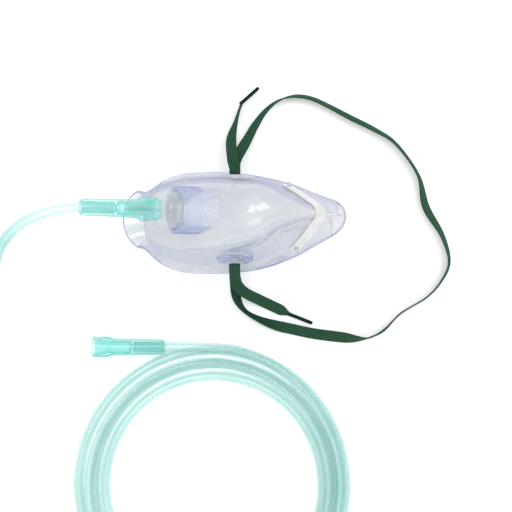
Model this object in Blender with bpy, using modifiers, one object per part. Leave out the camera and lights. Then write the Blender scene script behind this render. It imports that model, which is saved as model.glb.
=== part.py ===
"""Simple oxygen face mask with its elastic strap, port adapter, connectors and coiled supply tubing.

The mask lies face down: +X runs from the chin to the nose, +Y to the wearer's right, +Z away from the
face, and z = 0 is the table that the cheek edges rest on. Tables are in millimetres and every mesh is
made in metres.
"""

import math

import bmesh
import bpy
import numpy as np
from mathutils import Matrix, Vector
from mathutils.bvhtree import BVHTree

MM = 0.001
GAP = 0.3  # clearance between neighbouring pieces

# ---- Mask shell ----------------------------------------------------------------------------------
WALL = 1.5
STATION_STEPS = 2  # columns made between two stations
SKIRT_ROWS = 5
DOME_ROWS = 6
# Stations run from the nose tip to the chin.
# Rim: x, half width, height, flare (0 = straight skirt, 1 = upright wall with a flared edge).
RIM = (
    (64.5, 0.0, 31.0, 0.0),
    (63.1, 5.7, 28.2, 0.0),
    (59.2, 9.9, 24.0, 0.0),
    (53.7, 12.9, 18.5, 0.0),
    (44.7, 17.6, 13.0, 0.0),
    (37.7, 21.3, 9.5, 0.1),
    (30.5, 24.2, 6.2, 0.3),
    (23.5, 26.6, 3.2, 0.6),
    (14.1, 28.9, 1.0, 0.9),
    (5.0, 30.2, 0.5, 1.0),
    (-5.0, 31.0, 0.4, 1.0),
    (-15.0, 31.3, 0.4, 1.0),
    (-26.6, 31.0, 0.4, 1.0),
    (-34.0, 29.7, 0.4, 1.0),
    (-41.5, 27.0, 0.6, 0.9),
    (-48.0, 22.6, 1.8, 0.7),
    (-52.0, 18.4, 7.0, 0.4),
    (-53.8, 17.2, 12.5, 0.2),
    (-56.2, 16.9, 17.6, 0.1),
    (-60.2, 13.2, 19.8, 0.0),
    (-63.4, 7.2, 20.0, 0.0),
    (-64.5, 0.0, 20.0, 0.0),
)
# Waist, the crease between skirt and dome: x, half width, height, lean towards +Y.
WAIST = (
    (61.8, 0.0, 33.0, 0.0),
    (60.4, 1.3, 33.6, 0.0),
    (57.4, 2.1, 35.2, 0.0),
    (53.0, 2.5, 38.0, 0.0),
    (47.0, 2.8, 41.4, 0.2),
    (39.5, 4.6, 41.2, 0.8),
    (31.0, 8.4, 38.8, 1.8),
    (23.0, 13.0, 35.6, 2.6),
    (15.0, 18.0, 32.5, 1.0),
    (5.5, 19.7, 30.4, 0.2),
    (-4.5, 20.4, 28.8, 0.0),
    (-14.0, 20.8, 27.0, 0.0),
    (-24.0, 20.8, 25.0, 0.0),
    (-32.0, 20.1, 23.6, 0.0),
    (-39.0, 18.6, 22.3, 0.0),
    (-45.0, 16.6, 21.2, 0.0),
    (-48.2, 14.4, 20.6, 0.0),
    (-49.6, 12.4, 20.3, 0.0),
    (-50.6, 10.0, 20.2, 0.0),
    (-51.4, 7.2, 20.2, 0.0),
    (-51.9, 3.8, 20.2, 0.0),
    (-52.1, 0.0, 20.2, 0.0),
)
# Crest, the line over the top of the dome and down the nose ridge: x, height.
CREST = (
    (61.8, 33.9),
    (60.4, 34.7),
    (57.4, 36.5),
    (53.0, 39.6),
    (47.0, 43.4),
    (39.5, 47.6),
    (31.0, 52.8),
    (23.0, 57.6),
    (14.0, 60.2),
    (5.0, 58.2),
    (-4.5, 51.8),
    (-14.0, 45.6),
    (-24.0, 39.4),
    (-32.0, 34.6),
    (-38.5, 30.8),
    (-43.0, 28.2),
    (-45.5, 26.6),
    (-46.0, 26.2),
    (-46.0, 26.2),
    (-46.0, 26.2),
    (-46.0, 26.2),
    (-46.0, 26.2),
)
STRAIGHT_HANDLES = ((0.30, 0.30), (0.36, 0.36))
FLARED_HANDLES = ((0.62, 0.12), (0.30, 0.24))
DOME_BULGE = 0.10
DOME_RISE = 0.58
DOME_CROWN = 0.56

# ---- Port: the cuff moulded on the shell, and what plugs into it ----------------------------------
PORT_MOUTH = Vector((-31.3, 0.6, 49.5))
PORT_TILT = math.radians(29.5)
PORT_YAW = math.radians(3.0)
PORT_AXIS = Vector(
    (
        -math.cos(PORT_TILT) * math.cos(PORT_YAW),
        -math.cos(PORT_TILT) * math.sin(PORT_YAW),
        math.sin(PORT_TILT),
    )
)
CUFF_R = 13.0
CUFF_NECK_R = 12.5
CUFF_BORE_R = 11.0
CUFF_BAND = 13.2
CUFF_DEPTH = 27.0
ROUND_SEGMENTS = 40

ADAPTER_R = 10.3
ADAPTER_BEAD_R = CUFF_BORE_R - GAP
ADAPTER_BORE_R = 8.9
ADAPTER_INSIDE = -13.0
ADAPTER_SHOULDER = 7.6
NOZZLE_R = 3.3
NOZZLE_TIP_R = 2.9
NOZZLE_BORE_R = 1.4
NOZZLE_TIP = 27.0

# ---- Push-on connectors ---------------------------------------------------------------------------
CONNECTOR_LENGTH = 42.0
CONNECTOR_START = 9.9  # from the cuff's mouth to the mask connector's wide end
CONNECTOR_MOUTH_R = 6.2
CONNECTOR_MOUTH_BORE_R = 5.0
CONNECTOR_SOCKET_R = 3.65
CONNECTOR_SOCKET_DEPTH = 22.0
CONNECTOR_WEB = 2.0
CONNECTOR_NECK = 10.6
LUG_R = 7.2
LUG_WIDTH = 2.4
LUG_COUNT = 4

# ---- Supply tubing --------------------------------------------------------------------------------
TUBE_R = 2.7
TUBE_SOCKET_R = TUBE_R + GAP
COIL_CENTRE = Vector((-12.8, -155.2, 0.0))
COIL_OUTER_R = 81.6
COIL_INNER_R = 60.0
COIL_HEIGHT = 11.4
SUPPLY_MOUTH = Vector((-83.2, -74.8, 6.4))
# Route of the lead past the mask connector, down to the table, round the left and up to the coil.
LEAD_ROUTE = (
    (-89.1, -4.3, 79.3),
    (-102.2, -8.9, 78.4),
    (-113.8, -15.3, 70.7),
    (-124.5, -21.8, 53.8),
    (-133.2, -30.9, 37.0),
    (-144.5, -42.4, 22.8),
    (-154.8, -57.0, 10.9),
    (-160.2, -74.5, 4.2),
    (-162.6, -92.0, 3.0),
    (-160.5, -116.0, 3.0),
    (-154.0, -144.0, 3.0),
    (-144.5, -171.0, 3.0),
    (-131.0, -194.0, 3.0),
    (-113.0, -211.0, 3.0),
    (-92.0, -222.0, 3.0),
    (-73.0, -227.0, 3.0),
    (-57.0, -228.6, 3.0),
)
LEAD_POINTS = 78

# ---- Strap buttons and strap ----------------------------------------------------------------------
BOSS_CENTRE = Vector((0.6, 23.9, 17.5))  # on the wearer's right; the left one is mirrored
BOSS_TILT = math.radians(11.0)
BOSS_R = 10.6
BOSS_DEPTH = 3.4
VENT_COUNT = 6
VENT_R = 1.9
VENT_CIRCLE_R = 7.2
STEM_R = 1.9
STEM_HOLE_R = STEM_R + GAP
STEM_HEAD_R = 3.6
EYE_BAR_R = 0.85
EYE_BAR = 4.7  # from the boss's face to the middle of the bar
EYE_THICKNESS = 1.7
EYE_HALF_WIDTH = 4.4
EYE_SLOT_HALF = 3.5
EYE_SLOT_START = 2.0
STRAP_WIDTH = 6.4
STRAP_THICKNESS = 0.9
WRAP_R = 1.95  # of the strap's middle round the bar
TIP_LENGTH = 14.0
TIP_R = 1.05
# Each strap row: x, y, z, roll in degrees (0 lies flat, 90 stands on its edge).
STRAP_END_LEFT = (
    (0.7, -34.6, 15.0, -4),
    (0.9, -39.5, 9.6, -12),
    (1.3, -44.2, 5.4, -30),
    (3.2, -49.6, 3.8, -55),
    (8.0, -54.8, 3.5, -68),
    (17.2, -59.5, 3.2, -50),
    (25.5, -62.3, 2.0, -22),
    (33.0, -64.0, 1.0, 0),
)
STRAP_LOOP = (
    (33.0, -64.0, 1.0, 0),
    (47.2, -67.0, 0.8, 0),
    (63.3, -69.1, 1.6, 15),
    (73.5, -70.1, 3.2, 60),
    (80.5, -69.4, 3.5, 88),
    (89.4, -64.9, 3.4, 76),
    (99.7, -54.8, 3.5, 86),
    (115.4, -45.2, 3.5, 82),
    (124.6, -35.0, 3.5, 74),
    (129.1, -23.6, 3.5, 66),
    (125.2, -7.9, 3.2, 52),
    (115.9, 9.2, 2.8, 36),
    (111.4, 28.8, 3.4, 62),
    (98.3, 47.9, 3.4, 60),
    (85.7, 56.6, 3.3, 52),
    (71.1, 64.1, 3.2, 48),
    (57.5, 71.4, 3.2, 52),
    (46.7, 76.3, 3.3, 54),
    (36.3, 77.6, 3.4, 60),
    (26.5, 74.6, 3.6, 84),
    (18.5, 67.6, 4.2, 104),
    (11.8, 57.4, 6.2, 127),
)
STRAP_END_RIGHT = (
    (0.9, 34.4, 15.9, 2),
    (2.4, 39.0, 12.6, 8),
    (5.2, 44.6, 9.4, 22),
    (8.4, 50.6, 7.6, 40),
    (11.8, 57.4, 6.2, 53),
)
STRAP_TAIL_LEFT = (
    (0.9, -34.2, 19.2, 0),
    (2.2, -38.6, 14.6, 0),
    (6.8, -43.0, 8.8, 0),
    (15.6, -47.2, 2.8, 0),
    (25.0, -51.6, 1.0, 0),
    (33.8, -55.8, 1.2, 0),
)
STRAP_TAIL_RIGHT = (
    (-0.6, 33.8, 20.0, 0),
    (-1.4, 40.4, 17.0, 4),
    (-1.7, 48.0, 12.0, 24),
    (0.0, 57.4, 5.6, 66),
    (2.4, 67.6, 3.6, 86),
    (4.4, 73.6, 3.6, 88),
)
TIP_LEFT_END = (48.6, -61.6, 2.6)
TIP_RIGHT_END = (16.0, 84.2, 3.4)

# ---- Nose clip ------------------------------------------------------------------------------------
CLIP_WIDTH = 6.4
CLIP_THICKNESS = 0.6
CLIP_LIFT = 0.75
CLIP_POINTS = 36
CLIP_PLAN = (
    (34.4, -18.4),
    (40.2, -12.2),
    (45.6, -5.6),
    (48.4, -0.4),
    (45.4, 5.2),
    (38.2, 12.6),
    (30.2, 20.6),
)
POST_R = 1.15
POST_HEIGHT = 3.6
POST_AT = (2, -3)  # which of the clip's points the posts pass through

# ---- Materials: colour, roughness, metallic, alpha -------------------------------------------------
FINISHES = {
    "clear_vinyl": ((0.80, 0.83, 0.90), 0.12, 0.0, 0.35),
    "clear_plastic": ((0.86, 0.89, 0.93), 0.08, 0.0, 0.35),
    "aluminium": ((0.78, 0.77, 0.73), 0.38, 1.0, 1.0),
    "teal_plastic": ((0.05, 0.72, 0.62), 0.15, 0.0, 0.6),
    "tubing": ((0.55, 0.86, 0.82), 0.12, 0.0, 0.5),
    "elastic": ((0.03, 0.12, 0.07), 0.85, 0.0, 1.0),
}


def clear_scene():
    for thing in list(bpy.data.objects):
        bpy.data.objects.remove(thing, do_unlink=True)


def make_collection(name):
    found = bpy.data.collections.new(name)
    bpy.context.scene.collection.children.link(found)
    return found


def make_finish(name):
    colour, roughness, metallic, alpha = FINISHES[name]
    finish = bpy.data.materials.new(name)
    finish.use_nodes = True
    shader = finish.node_tree.nodes["Principled BSDF"]
    shader.inputs["Base Color"].default_value = (*colour, 1.0)
    shader.inputs["Roughness"].default_value = roughness
    shader.inputs["Metallic"].default_value = metallic
    shader.inputs["Alpha"].default_value = alpha
    finish.diffuse_color = (*colour, alpha)
    return finish


clear_scene()
PARTS = make_collection("oxygen_face_mask")
CUTTERS = make_collection("cutters")
FINISH = {name: make_finish(name) for name in FINISHES}


# ---- Helpers --------------------------------------------------------------------------------------
def add_part(name, mesh, finish):
    made = bpy.data.objects.new(name, mesh)
    PARTS.objects.link(made)
    mesh.materials.clear()
    mesh.materials.append(FINISH[finish])
    return made


def add_cutter(name, mesh):
    made = bpy.data.objects.new(name, mesh)
    CUTTERS.objects.link(made)
    made.hide_render = True
    made.display_type = "WIRE"
    return made


def smooth(thing, angle=40):
    thing.data.shade_smooth()
    thing.data.set_sharp_from_angle(angle=math.radians(angle))


def aimed(origin, axis, x_hint=(0, 1, 0)):
    """Matrix that puts a piece made round its local Z at origin (mm), pointing along axis."""
    z = Vector(axis).normalized()
    x = Vector(x_hint)
    x = (x - x.dot(z) * z).normalized()
    turn = Matrix((x, z.cross(x), z)).transposed().to_4x4()
    return Matrix.Translation(Vector(origin) * MM) @ turn


def mesh_from(bm, name):
    mesh = bpy.data.meshes.new(name)
    bm.to_mesh(mesh)
    bm.free()
    return mesh


def profile_mesh(name, profile, closed):
    """Profile of (radius, height) pairs in millimetres, in the XZ plane."""
    bm = bmesh.new()
    row = [bm.verts.new((r * MM, 0, h * MM)) for r, h in profile]
    for a, b in zip(row, row[1:]):
        bm.edges.new((a, b))
    if closed:
        bm.edges.new((row[-1], row[0]))
    return mesh_from(bm, name)


def turn_profile(thing, segments=ROUND_SEGMENTS):
    screw = thing.modifiers.new("turn", "SCREW")
    screw.axis = "Z"
    screw.steps = segments
    screw.render_steps = segments
    screw.use_merge_vertices = True
    screw.merge_threshold = 0.00001
    screw.use_normal_calculate = False


def combine(thing, other, operation):
    step = thing.modifiers.new(other.name, "BOOLEAN")
    step.operation = operation
    step.object = other
    step.solver = "EXACT"


def rod_mesh(name, radius, low, high, segments=24):
    """Closed cylinder round Z from low to high, all in millimetres."""
    bm = bmesh.new()
    bmesh.ops.create_cone(
        bm,
        cap_ends=True,
        segments=segments,
        radius1=radius * MM,
        radius2=radius * MM,
        depth=(high - low) * MM,
        matrix=Matrix.Translation((0, 0, (low + high) / 2 * MM)),
    )
    return mesh_from(bm, name)


def block_mesh(name, size, centre=(0, 0, 0)):
    bm = bmesh.new()
    scale = Matrix.Diagonal((*(s * MM for s in size), 1.0))
    bmesh.ops.create_cube(bm, size=1.0, matrix=Matrix.Translation(Vector(centre) * MM) @ scale)
    return mesh_from(bm, name)


def smooth_line(rows, count):
    """count points evenly spaced on a smooth curve through rows; each row is any list of numbers."""
    rows = np.array(rows, float)
    ends = np.vstack([2 * rows[0] - rows[1], rows, 2 * rows[-1] - rows[-2]])
    fine = []
    for i in range(1, len(ends) - 2):
        p0, p1, p2, p3 = ends[i - 1 : i + 3]
        for t in np.linspace(0, 1, 16, endpoint=False):
            fine.append(
                0.5 * (2 * p1 + (p2 - p0) * t + (2 * p0 - 5 * p1 + 4 * p2 - p3) * t**2
                       + (3 * p1 - p0 - 3 * p2 + p3) * t**3)
            )
    fine = np.array(fine + [rows[-1]])
    along = np.concatenate([[0], np.cumsum(np.linalg.norm(np.diff(fine[:, :3], axis=0), axis=1))])
    at = np.linspace(0, along[-1], count)
    return np.stack([np.interp(at, along, fine[:, k]) for k in range(fine.shape[1])], axis=1)


# ---- Mask shell -----------------------------------------------------------------------------------
def through_stations(table):
    """Points through a half table whose curve crosses the mask's middle plane square on."""
    rows = np.array(table, float)
    flip = np.ones(rows.shape[1])
    flip[1] = -1
    ends = np.vstack([rows[1] * flip, rows, rows[-2] * flip])
    found = []
    for i in range(1, len(ends) - 2):
        p0, p1, p2, p3 = ends[i - 1 : i + 3]
        for t in np.linspace(0, 1, STATION_STEPS, endpoint=False):
            found.append(
                0.5 * (2 * p1 + (p2 - p0) * t + (2 * p0 - 5 * p1 + 4 * p2 - p3) * t**2
                       + (3 * p1 - p0 - 3 * p2 + p3) * t**3)
            )
    return np.array(found + [rows[-1]])


def bezier(p0, p1, p2, p3, rows):
    t = np.linspace(0, 1, rows + 1)[:, None]
    return (1 - t) ** 3 * p0 + 3 * (1 - t) ** 2 * t * p1 + 3 * (1 - t) * t**2 * p2 + t**3 * p3


def shell_section(rim, waist, crest, side):
    """Points from the rim over the waist to the crest at one station, on one side."""
    flare = rim[3]
    rim_point = np.array([rim[0], side * rim[1], rim[2]])
    waist_point = np.array([waist[0], side * waist[1] + waist[3], waist[2]])
    crest_point = np.array([crest[0], 0.0, crest[2]])
    rise = waist_point - rim_point
    near, far = (
        np.array(a) * (1 - flare) + np.array(b) * flare
        for a, b in zip(STRAIGHT_HANDLES, FLARED_HANDLES)
    )
    near_handle = rim_point + rise * (near[0], near[0], near[1])
    far_handle = waist_point - rise * (far[0], far[0], far[1])
    skirt = bezier(rim_point, near_handle, far_handle, waist_point, SKIRT_ROWS)
    out = waist_point - crest_point
    out[2] = 0
    height = crest_point[2] - waist_point[2]
    wall_handle = waist_point + out * DOME_BULGE + np.array([0, 0, DOME_RISE * height])
    crown_handle = crest_point + out * DOME_CROWN
    dome = bezier(waist_point, wall_handle, crown_handle, crest_point, DOME_ROWS)
    return np.vstack([skirt, dome[1:]])


def shell_rings():
    """Columns of points round the whole shell, each from rim to crest."""
    rim, waist = through_stations(RIM), through_stations(WAIST)
    crest = through_stations([(x, 0.0, z) for x, z in CREST])
    last = len(rim) - 1
    right = [shell_section(rim[i], waist[i], crest[i], 1) for i in range(last + 1)]
    left = [shell_section(rim[i], waist[i], crest[i], -1) for i in range(last - 1, 0, -1)]
    return right + left


def surface_bmesh(columns):
    bm = bmesh.new()
    grid = [[bm.verts.new(Vector(p) * MM) for p in column] for column in columns]
    for i, column in enumerate(grid):
        beside = grid[(i + 1) % len(grid)]
        for k in range(len(column) - 1):
            bm.faces.new((column[k], beside[k], beside[k + 1], column[k + 1]))
    bmesh.ops.remove_doubles(bm, verts=bm.verts, dist=0.00002)
    return bm


def shell_inside():
    """Solid that fills the mask just inside its wall, closed well below the rim."""
    bm = surface_bmesh(shell_rings())
    bm.normal_update()
    normals = [v.normal.copy() for v in bm.verts]
    for v, n in zip(bm.verts, normals):
        v.co -= n * (WALL + 0.05) * MM
    rim_edges = [e for e in bm.edges if e.is_boundary]
    lowered = bmesh.ops.extrude_edge_only(bm, edges=rim_edges)
    verts = [g for g in lowered["geom"] if isinstance(g, bmesh.types.BMVert)]
    for v in verts:
        v.co = Vector((v.co.x * 0.6, v.co.y * 0.6, -45 * MM))
    bmesh.ops.contextual_create(bm, geom=[e for e in bm.edges if e.is_boundary])
    bmesh.ops.recalc_face_normals(bm, faces=bm.faces)
    return mesh_from(bm, "inside")


def boss_frame(side):
    centre = Vector((BOSS_CENTRE.x, side * BOSS_CENTRE.y, BOSS_CENTRE.z))
    normal = Vector((0, side * math.cos(BOSS_TILT), math.sin(BOSS_TILT)))
    return centre, normal


def make_shell(clip_points):
    bm = surface_bmesh(shell_rings())
    shell = add_part("mask_shell", mesh_from(bm, "mask_shell"), "clear_vinyl")
    skin = shell.modifiers.new("wall", "SOLIDIFY")
    skin.thickness = WALL * MM
    skin.offset = -1
    skin.use_even_offset = False

    cuff = add_cutter(
        "port_cuff",
        profile_mesh(
            "port_cuff",
            (
                (CUFF_R - 0.6, 0),
                (CUFF_R, -0.6),
                (CUFF_R, -CUFF_BAND),
                (CUFF_NECK_R, -CUFF_BAND - 0.5),
                (CUFF_NECK_R, -CUFF_DEPTH),
                (CUFF_BORE_R - 0.5, -CUFF_DEPTH),
                (CUFF_BORE_R - 0.5, 0),
            ),
            closed=True,
        ),
    )
    turn_profile(cuff)
    cuff.matrix_world = aimed(PORT_MOUTH, PORT_AXIS)
    combine(shell, cuff, "UNION")

    for side, word in ((1, "right"), (-1, "left")):
        centre, normal = boss_frame(side)
        boss = add_cutter("boss_" + word, rod_mesh("boss_" + word, BOSS_R, -BOSS_DEPTH, 0, 32))
        boss.matrix_world = aimed(centre, normal, (1, 0, 0))
        combine(shell, boss, "UNION")
    for index, (point, normal) in enumerate(clip_points[i] for i in POST_AT):
        post = add_cutter(f"post_{index}", rod_mesh("post", POST_R, -WALL, POST_HEIGHT, 12))
        post.matrix_world = aimed(point - normal * CLIP_LIFT, normal, (1, 0, 0))
        combine(shell, post, "UNION")

    combine(shell, add_cutter("inside", shell_inside()), "DIFFERENCE")
    bore = add_cutter("port_bore", rod_mesh("port_bore", CUFF_BORE_R, -CUFF_DEPTH - 1, 2, ROUND_SEGMENTS))
    bore.matrix_world = aimed(PORT_MOUTH, PORT_AXIS)
    combine(shell, bore, "DIFFERENCE")
    for side, word in ((1, "right"), (-1, "left")):
        centre, normal = boss_frame(side)
        place = aimed(centre, normal, (1, 0, 0))
        hole = add_cutter("stem_hole_" + word, rod_mesh("stem_hole", STEM_HOLE_R, -8, 2, 16))
        hole.matrix_world = place
        combine(shell, hole, "DIFFERENCE")
        for k in range(VENT_COUNT):
            angle = 2 * math.pi * k / VENT_COUNT
            offset = Vector((math.cos(angle), math.sin(angle), 0)) * VENT_CIRCLE_R * MM
            vent = add_cutter(f"vent_{word}_{k}", rod_mesh("vent", VENT_R, -8, 2, 12))
            vent.matrix_world = place @ Matrix.Translation(offset)
            combine(shell, vent, "DIFFERENCE")
    floor = add_cutter("floor", block_mesh("floor", (160, 100, 10), (0, 0, -5)))
    combine(shell, floor, "DIFFERENCE")
    return shell


# ---- Nose clip ------------------------------------------------------------------------------------
def clip_line():
    """Points and outward normals of the nose clip's middle line, lying on the shell."""
    tree = BVHTree.FromBMesh(surface_bmesh(shell_rings()))
    found = []
    for x, y in smooth_line([(x, y, 0) for x, y in CLIP_PLAN], CLIP_POINTS)[:, :2]:
        place, normal, _, _ = tree.ray_cast(Vector((x, y, 100)) * MM, Vector((0, 0, -1)))
        if normal.z < 0:
            normal = -normal
        found.append([place / MM, normal.copy()])
    for _ in range(3):
        old = [n for _, n in found]
        for i in range(1, len(found) - 1):
            found[i][1] = (old[i - 1] + old[i] * 2 + old[i + 1]).normalized()
    return [(place + normal * CLIP_LIFT, normal) for place, normal in found]


def make_clip(points):
    bm = bmesh.new()
    rings = []
    for i, (point, normal) in enumerate(points):
        along = (points[min(i + 1, len(points) - 1)][0] - points[max(i - 1, 0)][0]).normalized()
        across = along.cross(normal).normalized()
        up = across.cross(along).normalized() * CLIP_THICKNESS / 2
        half = across * CLIP_WIDTH / 2
        if i in (0, len(points) - 1):
            half = half * 0.7
        corners = (point - half - up, point + half - up, point + half + up, point - half + up)
        rings.append([bm.verts.new(c * MM) for c in corners])
    skin_rings(bm, rings)
    clip = add_part("nose_clip", mesh_from(bm, "nose_clip"), "aluminium")
    for index, (point, normal) in enumerate(points[i] for i in POST_AT):
        hole = add_cutter(f"clip_hole_{index}", rod_mesh("clip_hole", POST_R + GAP, -3, 3, 12))
        hole.matrix_world = aimed(point, normal, (1, 0, 0))
        combine(clip, hole, "DIFFERENCE")
    return clip


def skin_rings(bm, rings):
    """Faces between rings of points, with a cap on each end."""
    count = len(rings[0])
    for a, b in zip(rings, rings[1:]):
        for k in range(count):
            bm.faces.new((a[k], a[(k + 1) % count], b[(k + 1) % count], b[k]))
    bm.faces.new(rings[0][::-1])
    bm.faces.new(rings[-1])
    bmesh.ops.recalc_face_normals(bm, faces=bm.faces)


# ---- Adapter and connectors -----------------------------------------------------------------------
def make_adapter():
    profile = (
        (NOZZLE_TIP_R - 0.5, NOZZLE_TIP),
        (NOZZLE_TIP_R, NOZZLE_TIP - 0.6),
        (NOZZLE_R, NOZZLE_TIP - 3.0),
        (NOZZLE_R - 0.4, NOZZLE_TIP - 3.2),
        (NOZZLE_R, NOZZLE_TIP - 9.0),
        (NOZZLE_R, ADAPTER_SHOULDER + 1.6),
        (NOZZLE_R + 1.2, ADAPTER_SHOULDER + 1.2),
        (ADAPTER_R - 1.6, ADAPTER_SHOULDER + 0.6),
        (ADAPTER_R - 0.4, ADAPTER_SHOULDER - 0.4),
        (ADAPTER_R, ADAPTER_SHOULDER - 1.6),
        (ADAPTER_R, -1.0),
        (ADAPTER_BEAD_R, -1.4),
        (ADAPTER_BEAD_R, -2.6),
        (ADAPTER_R, -3.0),
        (ADAPTER_R, -9.0),
        (ADAPTER_BEAD_R, -9.6),
        (ADAPTER_BEAD_R, -11.0),
        (ADAPTER_R, ADAPTER_INSIDE),
        (ADAPTER_BORE_R, ADAPTER_INSIDE),
        (ADAPTER_BORE_R, ADAPTER_SHOULDER - 2.4),
        (NOZZLE_BORE_R + 1.0, ADAPTER_SHOULDER - 1.0),
        (NOZZLE_BORE_R, ADAPTER_SHOULDER + 2.0),
        (NOZZLE_BORE_R, NOZZLE_TIP),
    )
    adapter = add_part("swivel_adapter", profile_mesh("swivel_adapter", profile, closed=True), "clear_plastic")
    turn_profile(adapter, 32)
    adapter.matrix_world = aimed(PORT_MOUTH, PORT_AXIS)
    return adapter


def connector_profile():
    """Half section of a push-on connector; height 0 is its wide mouth, and it runs down to the tube."""
    web_end = CONNECTOR_SOCKET_DEPTH + CONNECTOR_WEB
    return (
        (CONNECTOR_MOUTH_BORE_R + 0.3, 0),
        (CONNECTOR_MOUTH_R - 0.2, 0),
        (CONNECTOR_MOUTH_R, -0.4),
        (CONNECTOR_MOUTH_R - 0.1, -8.6),
        (4.9, -CONNECTOR_NECK),
        (4.3, -CONNECTOR_LENGTH + 1.2),
        (3.8, -CONNECTOR_LENGTH),
        (TUBE_SOCKET_R, -CONNECTOR_LENGTH),
        (TUBE_SOCKET_R, -web_end),
        (1.6, -web_end),
        (1.6, -CONNECTOR_SOCKET_DEPTH),
        (CONNECTOR_SOCKET_R, -CONNECTOR_SOCKET_DEPTH),
        (CONNECTOR_SOCKET_R, -9.0),
    )


def lug_mesh():
    """Wedge that stands out from the connector's neck, widest just before the neck."""
    outline = (
        (4.2, -CONNECTOR_NECK - 1.4),
        (LUG_R, -8.9),
        (LUG_R - 0.2, -8.2),
        (CONNECTOR_MOUTH_R - 0.4, -1.6),
        (4.2, -6.0),
    )
    bm = bmesh.new()
    sides = []
    for y in (-LUG_WIDTH / 2, LUG_WIDTH / 2):
        sides.append([bm.verts.new((r * MM, y * MM * (0.55 if r > 5.6 else 1), h * MM)) for r, h in outline])
    skin_rings(bm, sides)
    return mesh_from(bm, "lug")


def make_connector(name, mouth, outward, turn):
    """outward points out of the wide mouth; turn spins the lugs round the axis."""
    connector = add_part(name, profile_mesh(name, connector_profile(), closed=True), "teal_plastic")
    turn_profile(connector, 32)
    place = aimed(mouth, outward) @ Matrix.Rotation(turn, 4, "Z")
    connector.matrix_world = place
    for k in range(LUG_COUNT):
        lug = add_cutter(f"{name}_lug_{k}", lug_mesh())
        lug.matrix_world = place @ Matrix.Rotation(2 * math.pi * (k + 0.5) / LUG_COUNT, 4, "Z")
        combine(connector, lug, "UNION")
    socket = add_cutter(name + "_socket", rod_mesh("socket", CONNECTOR_SOCKET_R, -CONNECTOR_SOCKET_DEPTH + 0.5, -1))
    socket.matrix_world = place
    combine(connector, socket, "DIFFERENCE")
    return connector


# ---- Tubing ---------------------------------------------------------------------------------------
def make_tube(name, points):
    curve = bpy.data.curves.new(name, "CURVE")
    curve.dimensions = "3D"
    curve.bevel_depth = TUBE_R * MM
    curve.bevel_resolution = 2
    curve.use_fill_caps = True
    curve.materials.append(FINISH["tubing"])
    line = curve.splines.new("POLY")
    line.points.add(len(points) - 1)
    for spot, p in zip(line.points, points):
        spot.co = (*(Vector(p) * MM), 1.0)
    made = bpy.data.objects.new(name, curve)
    PARTS.objects.link(made)
    return made


def make_tubing():
    seat = CONNECTOR_START + CONNECTOR_SOCKET_DEPTH + CONNECTOR_WEB + GAP
    inside = [PORT_MOUTH + PORT_AXIS * s for s in (seat, seat + 10, CONNECTOR_START + CONNECTOR_LENGTH)]
    route = [tuple(p) for p in inside] + list(LEAD_ROUTE)
    make_tube("tubing_lead", smooth_line(route, LEAD_POINTS))

    ring = add_part(
        "tubing_coil",
        profile_mesh(
            "tubing_coil",
            (
                (COIL_INNER_R + 2, COIL_HEIGHT),
                (COIL_OUTER_R - 2, COIL_HEIGHT),
                (COIL_OUTER_R, COIL_HEIGHT - 2),
                (COIL_OUTER_R, 2),
                (COIL_OUTER_R - 2, 0),
                (COIL_INNER_R + 2, 0),
                (COIL_INNER_R, 2),
                (COIL_INNER_R, COIL_HEIGHT - 2),
            ),
            closed=True,
        ),
        "tubing",
    )
    turn_profile(ring, 48)
    ring.location = COIL_CENTRE * MM

    start = SUPPLY_MOUTH + Vector((CONNECTOR_SOCKET_DEPTH + CONNECTOR_WEB + GAP, 0, 0))
    end = SUPPLY_MOUTH + Vector((CONNECTOR_LENGTH + 3.2, 0, 0))
    make_tube("tubing_tail", [start.lerp(end, t) for t in (0, 0.35, 0.7, 1)])


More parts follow.
